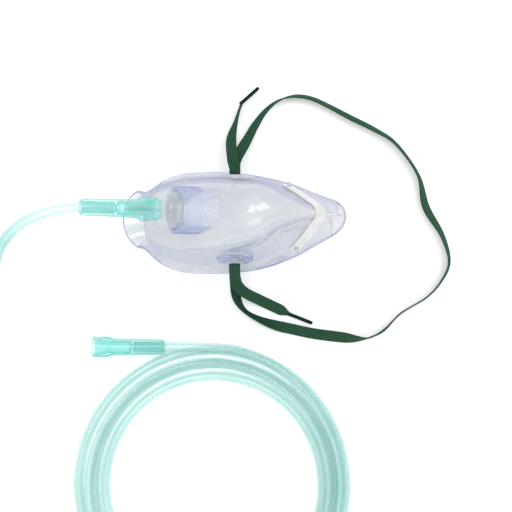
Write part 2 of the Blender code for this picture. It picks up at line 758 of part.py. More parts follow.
# ---- Strap buttons and strap ----------------------------------------------------------------------
def eye_mesh():
    """Flat eye in the XZ plane of its button: stem along +Z from 0, slot across X."""
    bar_top = EYE_BAR + EYE_BAR_R
    corner = 1.3
    outer = (
        (-STEM_R, 0.4),
        (STEM_R, 0.4),
        (STEM_R + 0.2, EYE_SLOT_START - 0.9),
        (EYE_HALF_WIDTH - 0.3, EYE_SLOT_START + 0.5),
        (EYE_HALF_WIDTH, EYE_SLOT_START + 1.3),
        (EYE_HALF_WIDTH, bar_top - corner),
        (EYE_HALF_WIDTH - corner, bar_top),
        (-EYE_HALF_WIDTH + corner, bar_top),
        (-EYE_HALF_WIDTH, bar_top - corner),
        (-EYE_HALF_WIDTH, EYE_SLOT_START + 1.3),
        (-EYE_HALF_WIDTH + 0.3, EYE_SLOT_START + 0.5),
        (-STEM_R - 0.2, EYE_SLOT_START - 0.9),
    )
    slot_top = EYE_BAR - EYE_BAR_R
    slot = (
        (-EYE_SLOT_HALF + 0.5, EYE_SLOT_START),
        (EYE_SLOT_HALF - 0.5, EYE_SLOT_START),
        (EYE_SLOT_HALF, EYE_SLOT_START + 0.6),
        (EYE_SLOT_HALF, slot_top),
        (-EYE_SLOT_HALF, slot_top),
        (-EYE_SLOT_HALF, EYE_SLOT_START + 0.6),
    )
    curve = bpy.data.curves.new("eye", "CURVE")
    curve.dimensions = "2D"
    curve.fill_mode = "BOTH"
    curve.extrude = EYE_THICKNESS / 2 * MM
    for outline in (outer, slot):
        line = curve.splines.new("POLY")
        line.use_cyclic_u = True
        line.points.add(len(outline) - 1)
        for spot, (x, z) in zip(line.points, outline):
            spot.co = (x * MM, z * MM, 0, 1)
    guide = bpy.data.objects.new("eye_guide", curve)
    bpy.context.scene.collection.objects.link(guide)
    depsgraph = bpy.context.evaluated_depsgraph_get()
    flat = bpy.data.meshes.new_from_object(guide.evaluated_get(depsgraph))
    bpy.data.objects.remove(guide)
    bm = bmesh.new()
    bm.from_mesh(flat)
    bmesh.ops.remove_doubles(bm, verts=bm.verts, dist=0.000005)
    bmesh.ops.rotate(bm, verts=bm.verts, matrix=Matrix.Rotation(math.pi / 2, 3, "X"))
    bmesh.ops.recalc_face_normals(bm, faces=bm.faces)
    return mesh_from(bm, "eye")


def make_eye(side, word):
    centre, normal = boss_frame(side)
    place = aimed(centre, normal, (1, 0, 0))
    eye = add_part("strap_eye_" + word, eye_mesh(), "clear_plastic")
    eye.matrix_world = place
    wall = BOSS_DEPTH + 1.2
    stem = add_cutter(
        "stem_" + word,
        profile_mesh(
            "stem",
            (
                (0, 1.2),
                (STEM_R, 1.2),
                (STEM_R, -wall - GAP),
                (STEM_HEAD_R, -wall - GAP),
                (STEM_HEAD_R - 0.8, -wall - GAP - 1.0),
                (0, -wall - GAP - 1.0),
            ),
            closed=False,
        ),
    )
    turn_profile(stem, 16)
    stem.matrix_world = place
    combine(eye, stem, "UNION")
    return eye


def make_ribbon(name, rows, widths=None):
    """Flat strap along rows of (x, y, z, wx, wy, wz), where w is the direction of its width."""
    bm = bmesh.new()
    rings = []
    points = [Vector(r[:3]) for r in rows]
    for i, row in enumerate(rows):
        along = (points[min(i + 1, len(rows) - 1)] - points[max(i - 1, 0)]).normalized()
        across = Vector(row[3:6])
        across = (across - across.dot(along) * along).normalized()
        thick = along.cross(across) * STRAP_THICKNESS / 2
        half = across * (widths[i] if widths else STRAP_WIDTH) / 2
        p = points[i]
        corners = (p - half - thick, p + half - thick, p + half + thick, p - half + thick)
        rings.append([bm.verts.new(c * MM) for c in corners])
    skin_rings(bm, rings)
    return add_part(name, mesh_from(bm, name), "elastic")


def rolled(route, count):
    """Evenly spaced rows along a route of (x, y, z, roll), with the width direction worked out."""
    line = smooth_line(route, count)
    rows = []
    for i, row in enumerate(line):
        along = Vector(line[min(i + 1, count - 1)][:3] - line[max(i - 1, 0)][:3]).normalized()
        level = Vector((0, 0, 1)).cross(along).normalized()
        roll = math.radians(row[3])
        across = level * math.cos(roll) + along.cross(level) * math.sin(roll)
        rows.append((*row[:3], *across))
    return rows


def wrap_rows(side):
    """The strap's turn round the eye's bar, from under the bar to above it."""
    centre, normal = boss_frame(side)
    up = Vector((0, -side * math.sin(BOSS_TILT), math.cos(BOSS_TILT)))
    middle = centre + normal * EYE_BAR
    across = (-side, 0, 0)
    turn = [middle + normal * 2.6 - up * WRAP_R, middle + normal * 1.3 - up * WRAP_R]
    for k in range(9):
        angle = math.pi * k / 8
        turn.append(middle - (normal * math.sin(angle) + up * math.cos(angle)) * WRAP_R)
    turn += [middle + normal * 1.3 + up * WRAP_R]
    return [(*p, *across) for p in turn], turn[0]


def make_strap():
    for side, word, tail, end, tip_end in (
        (1, "right", STRAP_TAIL_RIGHT, STRAP_END_RIGHT, TIP_RIGHT_END),
        (-1, "left", STRAP_TAIL_LEFT, STRAP_END_LEFT, TIP_LEFT_END),
    ):
        wrap, under = wrap_rows(side)
        tail_rows = rolled(tail, 16)
        rows = wrap + tail_rows
        widths = [STRAP_WIDTH] * (len(rows) - 2) + [STRAP_WIDTH * 0.7, 2 * TIP_R]
        make_ribbon("strap_tail_" + word, rows, widths)
        first = under + boss_frame(side)[1] * 3 * GAP
        lead = rolled([(*first, 0), *end], 14)
        make_ribbon("strap_end_" + word, lead)

        start = Vector(tail[-1][:3])
        way = (Vector(tip_end) - start).normalized()
        tip = add_part("strap_tip_" + word, rod_mesh("tip", TIP_R, GAP, TIP_LENGTH, 10), "elastic")
        tip.matrix_world = aimed(start, way)
    loop = rolled(STRAP_LOOP, 70)
    for at, beside in ((0, 1), (-1, -2)):
        here, there = Vector(loop[at][:3]), Vector(loop[beside][:3])
        loop[at] = (*(here + (there - here).normalized() * GAP), *loop[at][3:6])
    make_ribbon("strap_loop", loop)


def main():
    clip_points = clip_line()
    make_shell(clip_points)
    make_clip(clip_points)
    make_adapter()
    make_connector("mask_connector", PORT_MOUTH + PORT_AXIS * CONNECTOR_START, -PORT_AXIS, 0.0)
    make_connector("supply_connector", SUPPLY_MOUTH, Vector((-1, 0, 0)), 0.0)
    make_tubing()
    for side, word in ((1, "right"), (-1, "left")):
        make_eye(side, word)
    make_strap()
    for part in PARTS.objects:
        if part.type == "MESH":
            smooth(part)


main()
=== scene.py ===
"""Looks for a simple oxygen face mask that lies face down, with its strap and tubing laid out beside it.

+X runs from chin to nose, +Y to the wearer's right and +Z away from the face. Tables are in
millimetres; every mesh is made in metres.
"""

import math

import bmesh
import bpy
import numpy as np
from mathutils import Matrix, Vector
from mathutils.bvhtree import BVHTree


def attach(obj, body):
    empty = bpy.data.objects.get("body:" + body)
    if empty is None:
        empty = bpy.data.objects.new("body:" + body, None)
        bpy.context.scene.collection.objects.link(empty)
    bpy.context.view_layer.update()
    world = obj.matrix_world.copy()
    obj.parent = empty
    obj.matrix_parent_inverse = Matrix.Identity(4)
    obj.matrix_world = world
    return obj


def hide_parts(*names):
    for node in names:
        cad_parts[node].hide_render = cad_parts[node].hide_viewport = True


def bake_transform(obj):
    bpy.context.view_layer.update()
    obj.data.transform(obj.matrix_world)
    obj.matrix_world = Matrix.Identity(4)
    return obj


MM = 0.001
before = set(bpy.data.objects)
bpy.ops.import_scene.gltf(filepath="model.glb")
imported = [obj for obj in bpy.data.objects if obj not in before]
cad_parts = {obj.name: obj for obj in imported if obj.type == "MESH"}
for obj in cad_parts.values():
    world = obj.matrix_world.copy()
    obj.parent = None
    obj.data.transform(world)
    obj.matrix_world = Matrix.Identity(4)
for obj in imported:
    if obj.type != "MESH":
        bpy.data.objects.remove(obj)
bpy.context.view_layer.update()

# ---- Camera ---------------------------------------------------------------------------------------
CAMERA_AIM = Vector((13.0, -20.3, 0.0))
CAMERA_DISTANCE = 460.0
CAMERA_ELEVATION = math.radians(85.0)
CAMERA_LENS = 53.4
CAMERA_SENSOR = 36.0
CAMERA_REACH = (0.01, 20.0)  # metres, nearest and furthest that it sees

# ---- Light and floor, in metres and watts ---------------------------------------------------------
WORLD_STRENGTH = 0.66
SOFTBOX_AIM = Vector((0, 0, 0.03))
# Each softbox: name, place, width and height, power.
SOFTBOXES = (
    ("softbox_left", (-0.30, 0.10, 1.15), (0.70, 0.50), 3.0),
    ("softbox_right", (0.42, 0.24, 1.10), (0.62, 0.85), 4.2),
    ("softbox_front", (0.10, -0.95, 0.80), (1.10, 0.55), 2.2),
)
FLOOR_SIZE = 6.0
FLOOR_HEIGHT = -0.0004
FLOOR_GLOW = 0.22

# ---- Port and connectors --------------------------------------------------------------------------
PORT_MOUTH = Vector((-31.3, 0.6, 49.5))
PORT_TILT = math.radians(29.5)
PORT_YAW = math.radians(3.0)
PORT_AXIS = Vector(
    (
        -math.cos(PORT_TILT) * math.cos(PORT_YAW),
        -math.cos(PORT_TILT) * math.sin(PORT_YAW),
        math.sin(PORT_TILT),
    )
)
ROUND_SEGMENTS = 96  # round the port, its adapter and its bore
CUFF_R = 13.0
CUFF_NECK_R = 12.5
CUFF_BORE_R = 11.0
CUFF_BAND = 13.2
CUFF_DEPTH = 27.0
CONNECTOR_LENGTH = 42.0
CONNECTOR_START = 9.9
SUPPLY_MOUTH = Vector((-83.2, -74.8, 6.4))
# Profiles: radius, height along the piece's own axis, from the mouth.
CONNECTOR_PROFILE = (
    (5.2, 0.0),
    (6.0, 0.0),
    (6.2, -0.5),
    (6.2, -1.5),
    (5.9, -1.9),
    (6.1, -8.6),
    (4.9, -10.6),
    (4.75, -20.0),
    (4.55, -30.0),
    (4.4, -40.6),
    (3.9, -42.0),
    (3.05, -42.0),
    (3.0, -24.0),
    (1.6, -24.0),
    (1.6, -22.0),
    (3.65, -22.0),
    (3.65, -9.0),
    (5.0, -1.2),
)
LUG_COUNT = 4
LUG_WIDTH = 2.4
# Lug outline: radius, height, share of the lug's width.
LUG_OUTLINE = (
    (4.2, -12.6, 1.1),
    (7.15, -9.2, 0.4),
    (7.15, -8.4, 0.4),
    (5.5, -1.2, 0.75),
    (5.5, -6.0, 1.1),
)
ADAPTER_PROFILE = (
    (2.4, 27.0),
    (2.9, 26.6),
    (3.3, 24.0),
    (2.9, 23.8),
    (3.3, 18.0),
    (3.3, 9.4),
    (4.4, 8.9),
    (8.0, 8.3),
    (9.8, 7.3),
    (10.3, 6.0),
    (10.3, 1.0),
    (10.3, -1.0),
    (10.7, -1.4),
    (10.7, -2.6),
    (10.3, -3.0),
    (10.3, -9.0),
    (10.7, -9.6),
    (10.7, -11.0),
    (10.3, -13.0),
    (8.9, -13.0),
    (8.9, 5.2),
    (7.6, 6.4),
    (2.4, 7.2),
    (1.4, 9.6),
    (1.4, 27.0),
)

# ---- Tubing ---------------------------------------------------------------------------------------
TUBE_R = 2.7
TUBE_BORE_R = 1.75
TUBE_SEAT = 24.3  # from a connector's mouth to the tube's end inside it
TUBE_POINTS = 400
TUBE_SIDES = 14
SEAT_STRAIGHT = 10.0  # how far the tube runs straight inside the mask connector
SUPPLY_RUN_IN = Vector((57.0, 0, 1.1))  # last bend of the tube, from the supply connector's mouth
LEAD_ROUTE = (
    (-89.1, -4.3, 79.3),
    (-102.2, -8.9, 78.4),
    (-113.8, -15.3, 70.7),
    (-124.5, -21.8, 53.8),
    (-133.2, -30.9, 37.0),
    (-144.5, -42.4, 22.8),
    (-154.8, -57.0, 10.9),
    (-160.2, -74.5, 4.2),
    (-162.6, -92.0, 3.0),
    (-160.5, -116.0, 3.0),
    (-154.0, -144.0, 3.0),
    (-144.5, -171.0, 3.0),
    (-131.0, -194.0, 3.0),
    (-113.0, -211.0, 3.0),
    (-92.0, -222.0, 3.0),
    (-72.0, -227.4, 3.0),
    (-52.0, -230.2, 3.0),
    (-32.0, -232.6, 2.9),
)
COIL_CENTRE = Vector((-12.8, -155.2, 0.0))
# Turns from the supply end to the lead: clockwise degrees from the top, radius, height.
COIL_TURNS = (
    (0, 80.4, 7.9),
    (25, 78.7, 8.2),
    (50, 76.7, 7.8),
    (90, 75.2, 6.9),
    (135, 74.4, 7.6),
    (180, 73.4, 8.1),
    (215, 72.6, 8.0),
    (270, 71.5, 7.5),
    (315, 71.5, 7.7),
    (360, 71.4, 8.0),
    (405, 69.4, 7.8),
    (450, 68.3, 6.9),
    (495, 67.2, 8.1),
    (540, 64.2, 8.1),
    (585, 61.9, 5.4),
    (630, 62.6, 2.8),
    (675, 63.0, 2.7),
    (720, 63.2, 2.7),
    (765, 63.9, 2.7),
    (810, 64.8, 2.7),
    (900, 66.5, 2.7),
    (945, 67.8, 2.7),
    (990, 69.0, 2.7),
    (1080, 70.6, 2.7),
    (1170, 71.7, 2.7),
    (1260, 72.4, 2.7),
    (1292, 74.4, 2.7),
    (1325, 77.0, 2.7),
    (1360, 78.6, 2.7),
    (1440, 78.7, 2.7),
    (1530, 78.6, 2.7),
    (1612, 78.6, 2.8),
)
TURN_STEP = 7.5

# ---- Strap ----------------------------------------------------------------------------------------
BOSS_CENTRE = Vector((0.6, 23.9, 17.5))
BOSS_TILT = math.radians(11.0)
BOSS_R = 10.6
BOSS_DEPTH = 3.4
EYE_BAR = 4.7
STRAP_WIDTH = 6.4
STRAP_THICKNESS = 0.9
STRAP_RIBS = 6
STRAP_COLUMNS = 24
STRAP_STEP = 0.9
RIB_DEPTH = 0.10
WRAP_R = 1.95
WRAP_STEPS = 8
TIP_R = 1.05
TIP_LENGTH = 14.0
TIP_RIDGES = 14
TIP_RIDGE_STEP = 0.9
GATHERED_WIDTH = 2 * TIP_R * 0.9
# Each strap row: x, y, z, roll in degrees (0 lies flat, 90 stands on its edge).
STRAP_END_LEFT = (
    (0.7, -34.6, 15.0, -4),
    (0.9, -39.5, 9.6, -12),
    (1.3, -44.2, 5.4, -30),
    (3.2, -49.6, 3.8, -55),
    (8.0, -54.8, 3.5, -68),
    (17.2, -59.5, 3.2, -50),
    (25.5, -62.3, 2.0, -22),
    (33.0, -64.0, 1.0, 0),
)
STRAP_LOOP = (
    (33.0, -64.0, 1.0, 0),
    (47.2, -67.0, 0.8, 0),
    (63.3, -69.1, 1.6, 15),
    (73.5, -70.1, 3.2, 60),
    (80.5, -69.4, 3.5, 88),
    (89.4, -64.9, 3.4, 76),
    (99.7, -54.8, 3.5, 86),
    (115.4, -45.2, 3.5, 82),
    (124.6, -35.0, 3.5, 74),
    (129.1, -23.6, 3.5, 66),
    (125.2, -7.9, 3.2, 52),
    (115.9, 9.2, 2.8, 36),
    (111.4, 28.8, 3.4, 62),
    (98.3, 47.9, 3.4, 60),
    (85.7, 56.6, 3.3, 52),
    (71.1, 64.1, 3.2, 48),
    (57.5, 71.4, 3.2, 52),
    (46.7, 76.3, 3.3, 54),
    (36.3, 77.6, 3.4, 60),
    (26.5, 74.6, 3.6, 84),
    (18.5, 67.6, 4.2, 104),
    (11.8, 57.4, 6.2, 127),
)
STRAP_END_RIGHT = (
    (0.9, 34.4, 15.9, 2),
    (2.4, 39.0, 12.6, 8),
    (5.2, 44.6, 9.4, 22),
    (8.4, 50.6, 7.6, 40),
    (11.8, 57.4, 6.2, 53),
)
STRAP_TAIL_LEFT = (
    (0.9, -34.2, 19.2, 0),
    (2.2, -38.6, 14.6, 0),
    (6.8, -43.0, 8.8, 0),
    (15.6, -47.2, 2.8, 0),
    (25.0, -51.6, 1.0, 0),
    (33.8, -55.8, 1.2, 0),
)
STRAP_TAIL_RIGHT = (
    (-0.6, 33.8, 20.0, 0),
    (-1.4, 40.4, 17.0, 4),
    (-1.7, 48.0, 12.0, 24),
    (0.0, 57.4, 5.6, 66),
    (2.4, 67.6, 3.6, 86),
    (4.4, 73.6, 3.6, 88),
)
TIP_LEFT_END = (48.6, -61.6, 2.6)
TIP_RIGHT_END = (16.0, 84.2, 3.4)

# ---- Mask shell -----------------------------------------------------------------------------------
WALL = 1.5
RIM_SLOT = 2  # the rim's place among the shell's materials
RIM_SOFTNESS = 0.5
FINE = (5, 12, 12)  # columns between two stations, rows up the skirt, rows over the dome
COARSE = (3, 8, 9)
INSIDE_SPAN = (-41.0, 33.0)
INSIDE_DEPTH = 0.8  # share of the wall
INSIDE_MIDDLE = 12  # height that counts as the middle of the hollow
INSIDE_FLOOR = -30
# Rim: x, half width, height, flare (0 = straight skirt, 1 = upright wall with a flared edge).
RIM = (
    (64.5, 0.0, 31.0, 0.0),
    (63.1, 5.7, 28.2, 0.0),
    (59.2, 9.9, 24.0, 0.0),
    (53.7, 12.9, 18.5, 0.0),
    (44.7, 17.6, 13.0, 0.0),
    (37.7, 21.3, 9.5, 0.1),
    (30.5, 24.2, 6.2, 0.3),
    (23.5, 26.6, 3.2, 0.6),
    (14.1, 28.9, 1.0, 0.9),
    (5.0, 30.2, 0.5, 1.0),
    (-5.0, 31.0, 0.4, 1.0),
    (-15.0, 31.3, 0.4, 1.0),
    (-26.6, 31.0, 0.4, 1.0),
    (-34.0, 29.7, 0.4, 1.0),
    (-41.5, 27.0, 0.6, 0.9),
    (-48.0, 22.6, 1.8, 0.7),
    (-52.0, 18.4, 7.0, 0.4),
    (-53.8, 17.2, 12.5, 0.2),
    (-56.2, 16.9, 17.6, 0.1),
    (-60.2, 13.2, 19.8, 0.0),
    (-63.4, 7.2, 20.0, 0.0),
    (-64.5, 0.0, 20.0, 0.0),
)
# Waist, the crease between skirt and dome: x, half width, height, lean towards +Y.
WAIST = (
    (61.8, 0.0, 33.0, 0.0),
    (60.4, 1.3, 33.6, 0.0),
    (57.4, 2.1, 35.2, 0.0),
    (53.0, 2.5, 38.0, 0.0),
    (47.0, 2.8, 41.4, 0.2),
    (39.5, 4.6, 41.2, 0.8),
    (31.0, 8.4, 38.8, 1.8),
    (23.0, 13.0, 35.6, 2.6),
    (15.0, 18.0, 32.5, 1.0),
    (5.5, 19.7, 30.4, 0.2),
    (-4.5, 20.4, 28.8, 0.0),
    (-14.0, 20.8, 27.0, 0.0),
    (-24.0, 20.8, 25.0, 0.0),
    (-32.0, 20.1, 23.6, 0.0),
    (-39.0, 18.6, 22.3, 0.0),
    (-45.0, 16.6, 21.2, 0.0),
    (-48.2, 14.4, 20.6, 0.0),
    (-49.6, 12.4, 20.3, 0.0),
    (-50.6, 10.0, 20.2, 0.0),
    (-51.4, 7.2, 20.2, 0.0),
    (-51.9, 3.8, 20.2, 0.0),
    (-52.1, 0.0, 20.2, 0.0),
)
# Crest, the line over the top of the dome and down the nose ridge: x, height.
CREST = (
    (61.8, 33.9),
    (60.4, 34.7),
    (57.4, 36.5),
    (53.0, 39.6),
    (47.0, 43.4),
    (39.5, 47.6),
    (31.0, 52.8),
    (23.0, 57.6),
    (14.0, 60.2),
    (5.0, 58.2),
    (-4.5, 51.8),
    (-14.0, 45.6),
    (-24.0, 39.4),
    (-32.0, 34.6),
    (-38.5, 30.8),
    (-43.0, 28.2),
    (-45.5, 26.6),
    (-46.0, 26.2),
    (-46.0, 26.2),
    (-46.0, 26.2),
    (-46.0, 26.2),
    (-46.0, 26.2),
)
STRAIGHT_HANDLES = ((0.30, 0.30), (0.36, 0.36))
FLARED_HANDLES = ((0.62, 0.12), (0.30, 0.24))
DOME_BULGE = 0.10
DOME_RISE = 0.58
DOME_CROWN = 0.56
BOSS_SEGMENTS = 64
HOLE_SPAN = (-8, 2)
HOLE_SEGMENTS = 24
ROD_SEGMENTS = 20
GATE_R = 1.1
GATE_HEIGHT = 0.9
TAB_R = 1.4
TAB_HEIGHT = 1.5
VENT_COUNT = 6
VENT_R = 1.9
VENT_CIRCLE_R = 7.2
STEM_HOLE_R = 2.2

# ---- Nose clip ------------------------------------------------------------------------------------
CLIP_WIDTH = 6.4
CLIP_THICKNESS = 0.6
CLIP_LIFT = 0.75
CLIP_EDGE = 0.14
CLIP_SMOOTHING = 12
CLIP_POINTS = 90
CAD_CLIP_POINTS = 36
CLIP_PLAN = (
    (34.4, -18.4),
    (40.2, -12.2),
    (45.6, -5.6),
    (48.4, -0.4),
    (45.4, 5.2),
    (38.2, 12.6),
    (30.2, 20.6),
)
POST_R = 1.15
POST_HEIGHT = 3.6
POST_AT = (2, -3)
EYE_SOFTNESS = 0.16


# ---- Material helpers -----------------------------------------------------------------------------
class Shader:
    """A material's node tree, with short ways to add and join nodes."""

    def __init__(self, name):
        self.material = bpy.data.materials.new(name)
        self.material.use_nodes = True
        self.tree = self.material.node_tree
        self.principled = self.tree.nodes["Principled BSDF"]
        self.output = self.tree.nodes["Material Output"]
        self.coordinates = self.tree.nodes.new("ShaderNodeTexCoord")

    def add(self, kind, links=(), **settings):
        node = self.tree.nodes.new(kind)
        for key, value in settings.items():
            setattr(node, key, value)
        for socket, source in dict(links).items():
            self.feed(node.inputs[socket], source)
        return node

    def feed(self, socket, source):
        if isinstance(source, bpy.types.NodeSocket):
            self.tree.links.new(source, socket)
        else:
            socket.default_value = source

    def set(self, **values):
        for key, value in values.items():
            self.feed(self.principled.inputs[key.replace("_", " ")], value)

    def noise(self, scale, detail=3.0, coordinates="Object"):
        links = {"Vector": self.coordinates.outputs[coordinates], "Scale": scale, "Detail": detail}
        return self.add("ShaderNodeTexNoise", links).outputs["Fac"]

    def span(self, source, low, high, start=0.0, end=1.0):
        links = {"Value": source, "From Min": start, "From Max": end, "To Min": low, "To Max": high}
        return self.add("ShaderNodeMapRange", links).outputs["Result"]

    def mix(self, factor, first, second):
        node = self.add("ShaderNodeMix", data_type="RGBA")
        self.feed(node.inputs[0], factor)
        self.feed(node.inputs[6], (*first, 1.0) if isinstance(first, tuple) else first)
        self.feed(node.inputs[7], (*second, 1.0) if isinstance(second, tuple) else second)
        return node.outputs[2]

    def maths(self, operation, first, second=0.0):
        node = self.add("ShaderNodeMath", operation=operation)
        self.feed(node.inputs[0], first)
        self.feed(node.inputs[1], second)
        return node.outputs[0]

    def facing(self, blend):
        return self.add("ShaderNodeLayerWeight", {"Blend": blend}).outputs["Facing"]

    def bump(self, height, strength, distance):
        links = {"Height": height, "Strength": strength, "Distance": distance}
        return self.add("ShaderNodeBump", links).outputs["Normal"]

    def shine_over(self, weight, roughness, normal):
        """Mirror-like shine over the principled shader."""
        links = {"Roughness": roughness, "Color": (1, 1, 1, 1), "Normal": normal}
        gloss = self.add("ShaderNodeBsdfGlossy", links)
        links = {0: weight, 1: self.principled.outputs[0], 2: gloss.outputs[0]}
        mixed = self.add("ShaderNodeMixShader", links)
        self.feed(self.output.inputs["Surface"], mixed.outputs[0])


def clear_material(
    name, middle, edge, see, blend=0.4, roughness=0.08, ripple=0.06, speckle=0.0,
    shine=(0.05, 0.25), bend=1.0,
):
    """Clear or tinted soft plastic: see-through where it is faced, deeper in colour at its edges."""
    s = Shader(name)
    facing = s.facing(blend)
    cloud = s.noise(34.0, 4.0)
    grain = s.noise(1500.0, 2.0)
    depth = s.maths("ADD", facing, s.span(cloud, -0.05, 0.05, 0.35, 0.65))
    depth = s.maths("POWER", s.maths("MAXIMUM", depth, 0.0), bend)
    colour = s.mix(depth, middle, edge)
    alpha = s.span(depth, see[0], see[1])
    if speckle:
        alpha = s.maths("ADD", alpha, s.span(grain, -speckle, speckle, 0.35, 0.65))
    height = s.maths("ADD", s.span(cloud, 0.0, 1.0), s.span(grain, 0.0, 0.10 + speckle))
    normal = s.bump(height, ripple, 0.0006)
    s.set(
        Base_Color=colour,
        Alpha=alpha,
        Roughness=s.span(grain, roughness + 0.25, roughness + 0.40),
        Specular_IOR_Level=0.2,
        Normal=normal,
    )
    s.shine_over(s.span(facing, shine[0], shine[1]), roughness, normal)
    return s.material


def clip_material():
    s = Shader("clip_aluminium")
    uv = s.coordinates.outputs["UV"]
    stretch = s.add("ShaderNodeMapping", {"Vector": uv, "Scale": (60.0, 1.2, 1.0)})
    brushed = s.add("ShaderNodeTexNoise", {"Vector": stretch.outputs[0], "Scale": 6.0, "Detail": 5.0})
    mottle = s.noise(420.0, 3.0)
    tone = s.mix(s.span(mottle, 0.0, 1.0, 0.3, 0.7), (0.76, 0.75, 0.73), (0.88, 0.87, 0.85))
    s.set(
        Base_Color=tone,
        Metallic=0.45,
        Roughness=s.span(brushed.outputs["Fac"], 0.36, 0.55, 0.3, 0.7),
        Normal=s.bump(s.maths("ADD", brushed.outputs["Fac"], mottle), 0.25, 0.0002),
    )
    return s.material


def elastic_material(name, dark, light, rows):
    """Knitted elastic: chevron stitches between ribs, worked out from the strap's own length and width."""
    s = Shader(name)
    parts = s.add("ShaderNodeSeparateXYZ", {"Vector": s.coordinates.outputs["UV"]})
    across, along = parts.outputs["X"], parts.outputs["Y"]
    ribs = s.maths("SINE", s.maths("MULTIPLY", across, 2 * math.pi * STRAP_RIBS))
    slant = s.maths("MULTIPLY", s.maths("ABSOLUTE", ribs), 0.22)
    stitch = s.maths("SINE", s.maths("MULTIPLY", s.maths("ADD", along, slant), rows))
    fuzz = s.noise(2600.0, 2.0)
    weave = s.maths("ADD", s.span(stitch, 0.0, 0.25, -1.0, 1.0), s.span(ribs, 0.0, 0.75, -1.0, 1.0))
    tone = s.maths("ADD", weave, s.span(fuzz, -0.2, 0.2, 0.3, 0.7))
    wear = s.mix(s.span(s.noise(60.0), 0.0, 1.0, 0.3, 0.7), dark, tuple(c * 1.25 for c in dark))
    s.set(
        Base_Color=s.mix(s.span(tone, 0.0, 1.0, 0.1, 1.0), wear, light),
        Roughness=s.span(fuzz, 0.72, 0.95, 0.3, 0.7),
        Normal=s.bump(tone, 0.6, 0.0003),
        Specular_IOR_Level=0.12,
    )
    return s.material


def floor_material():
    s = Shader("floor_paper")
    tone = s.mix(s.span(s.noise(7.0), 0.0, 1.0, 0.3, 0.7), (0.90, 0.90, 0.90), (0.92, 0.92, 0.92))
    s.set(
        Base_Color=tone,
        Roughness=0.9,
        Emission_Color=(1.0, 1.0, 1.0, 1.0),
        Emission_Strength=FLOOR_GLOW,
    )
    return s.material


# ---- Mesh helpers ---------------------------------------------------------------------------------
def add_object(name, mesh, *materials):
    made = bpy.data.objects.new(name, mesh)
    bpy.context.scene.collection.objects.link(made)
    for material in materials:
        mesh.materials.append(material)
    return made


def smooth(mesh, angle=38):
    mesh.shade_smooth()
    mesh.set_sharp_from_angle(angle=math.radians(angle))


def mesh_from(bm, name):
    mesh = bpy.data.meshes.new(name)
    bm.to_mesh(mesh)
    bm.free()
    return mesh


def aimed(origin, axis, x_hint=(0, 1, 0)):
    """Matrix that puts a piece made round its local Z at origin (mm), pointing along axis."""
    z = Vector(axis).normalized()
    x = Vector(x_hint)
    x = (x - x.dot(z) * z).normalized()
    turn = Matrix((x, z.cross(x), z)).transposed().to_4x4()
    return Matrix.Translation(Vector(origin) * MM) @ turn


def lathe(name, profile, segments=72, closed=True):
    """Turned mesh from (radius, height) pairs, which run down the outer side and up the inner one."""
    bm = bmesh.new()
    rings = []
    for radius, height in profile:
        if radius < 1e-6:
            rings.append([bm.verts.new((0, 0, height * MM))] * segments)
            continue
        angles = [2 * math.pi * k / segments for k in range(segments)]
        around = [(radius * MM * math.cos(a), radius * MM * math.sin(a)) for a in angles]
        rings.append([bm.verts.new((x, y, height * MM)) for x, y in around])
    pairs = list(zip(rings, rings[1:])) + ([(rings[-1], rings[0])] if closed else [])
    for upper, lower in pairs:
        for k in range(segments):
            n = (k + 1) % segments
            corners = list(dict.fromkeys((upper[k], lower[k], lower[n], upper[n])))
            if len(corners) > 2:
                bm.faces.new(corners)
    bmesh.ops.recalc_face_normals(bm, faces=bm.faces)
    return mesh_from(bm, name)


def rounded(profile, radius=0.35, steps=3):
    """The closed profile with each corner rounded off."""
    found = []
    count = len(profile)
    for i, point in enumerate(profile):
        p = np.array(point, float)
        before = np.array(profile[i - 1], float) - p
        after = np.array(profile[(i + 1) % count], float) - p
        cut = min(radius, np.linalg.norm(before) * 0.4, np.linalg.norm(after) * 0.4)
        a = p + before / np.linalg.norm(before) * cut
        b = p + after / np.linalg.norm(after) * cut
        for t in np.linspace(0, 1, steps):
            found.append(tuple((1 - t) ** 2 * a + 2 * (1 - t) * t * p + t * t * b))
    return found


def stitch(bm, rings):
    """Four-sided faces between each closed ring and the next."""
    count = len(rings[0])
    for a, b in zip(rings, rings[1:]):
        for k in range(count):
            n = (k + 1) % count
            bm.faces.new((a[k], a[n], b[n], b[k]))


def close_strip(bm, rings, uv, places):
    """Closes a strip's rings into a solid and lays its map out from places."""
    stitch(bm, rings)
    bm.faces.new(rings[0][::-1])
    bm.faces.new(rings[-1])
    bmesh.ops.recalc_face_normals(bm, faces=bm.faces)
    for face in bm.faces:
        for loop in face.loops:
            loop[uv].uv = places[loop.vert]


def rod_into(bm, radius, low, high, segments, matrix):
    bmesh.ops.create_cone(
        bm,
        cap_ends=True,
        segments=segments,
        radius1=radius * MM,
        radius2=radius * MM,
        depth=(high - low) * MM,
        matrix=matrix @ Matrix.Translation((0, 0, (low + high) / 2 * MM)),
    )


def cut_with(thing, mesh, operation):
    tool = add_object("tool_" + str(len(thing.modifiers)), mesh)
    tool.hide_render = True
    tool["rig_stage"] = True
    step = thing.modifiers.new("step", "BOOLEAN")
    step.operation = operation
    step.object = tool
    step.solver = "EXACT"
    step.material_mode = "INDEX"
    return tool


def apply_all(thing, tools=()):
    """Swaps the object's mesh for its evaluated one and removes the tools it was made with."""
    depsgraph = bpy.context.evaluated_depsgraph_get()
    final = bpy.data.meshes.new_from_object(thing.evaluated_get(depsgraph))
    thing.modifiers.clear()
    thing.data = final
    for tool in tools:
        bpy.data.objects.remove(tool, do_unlink=True)


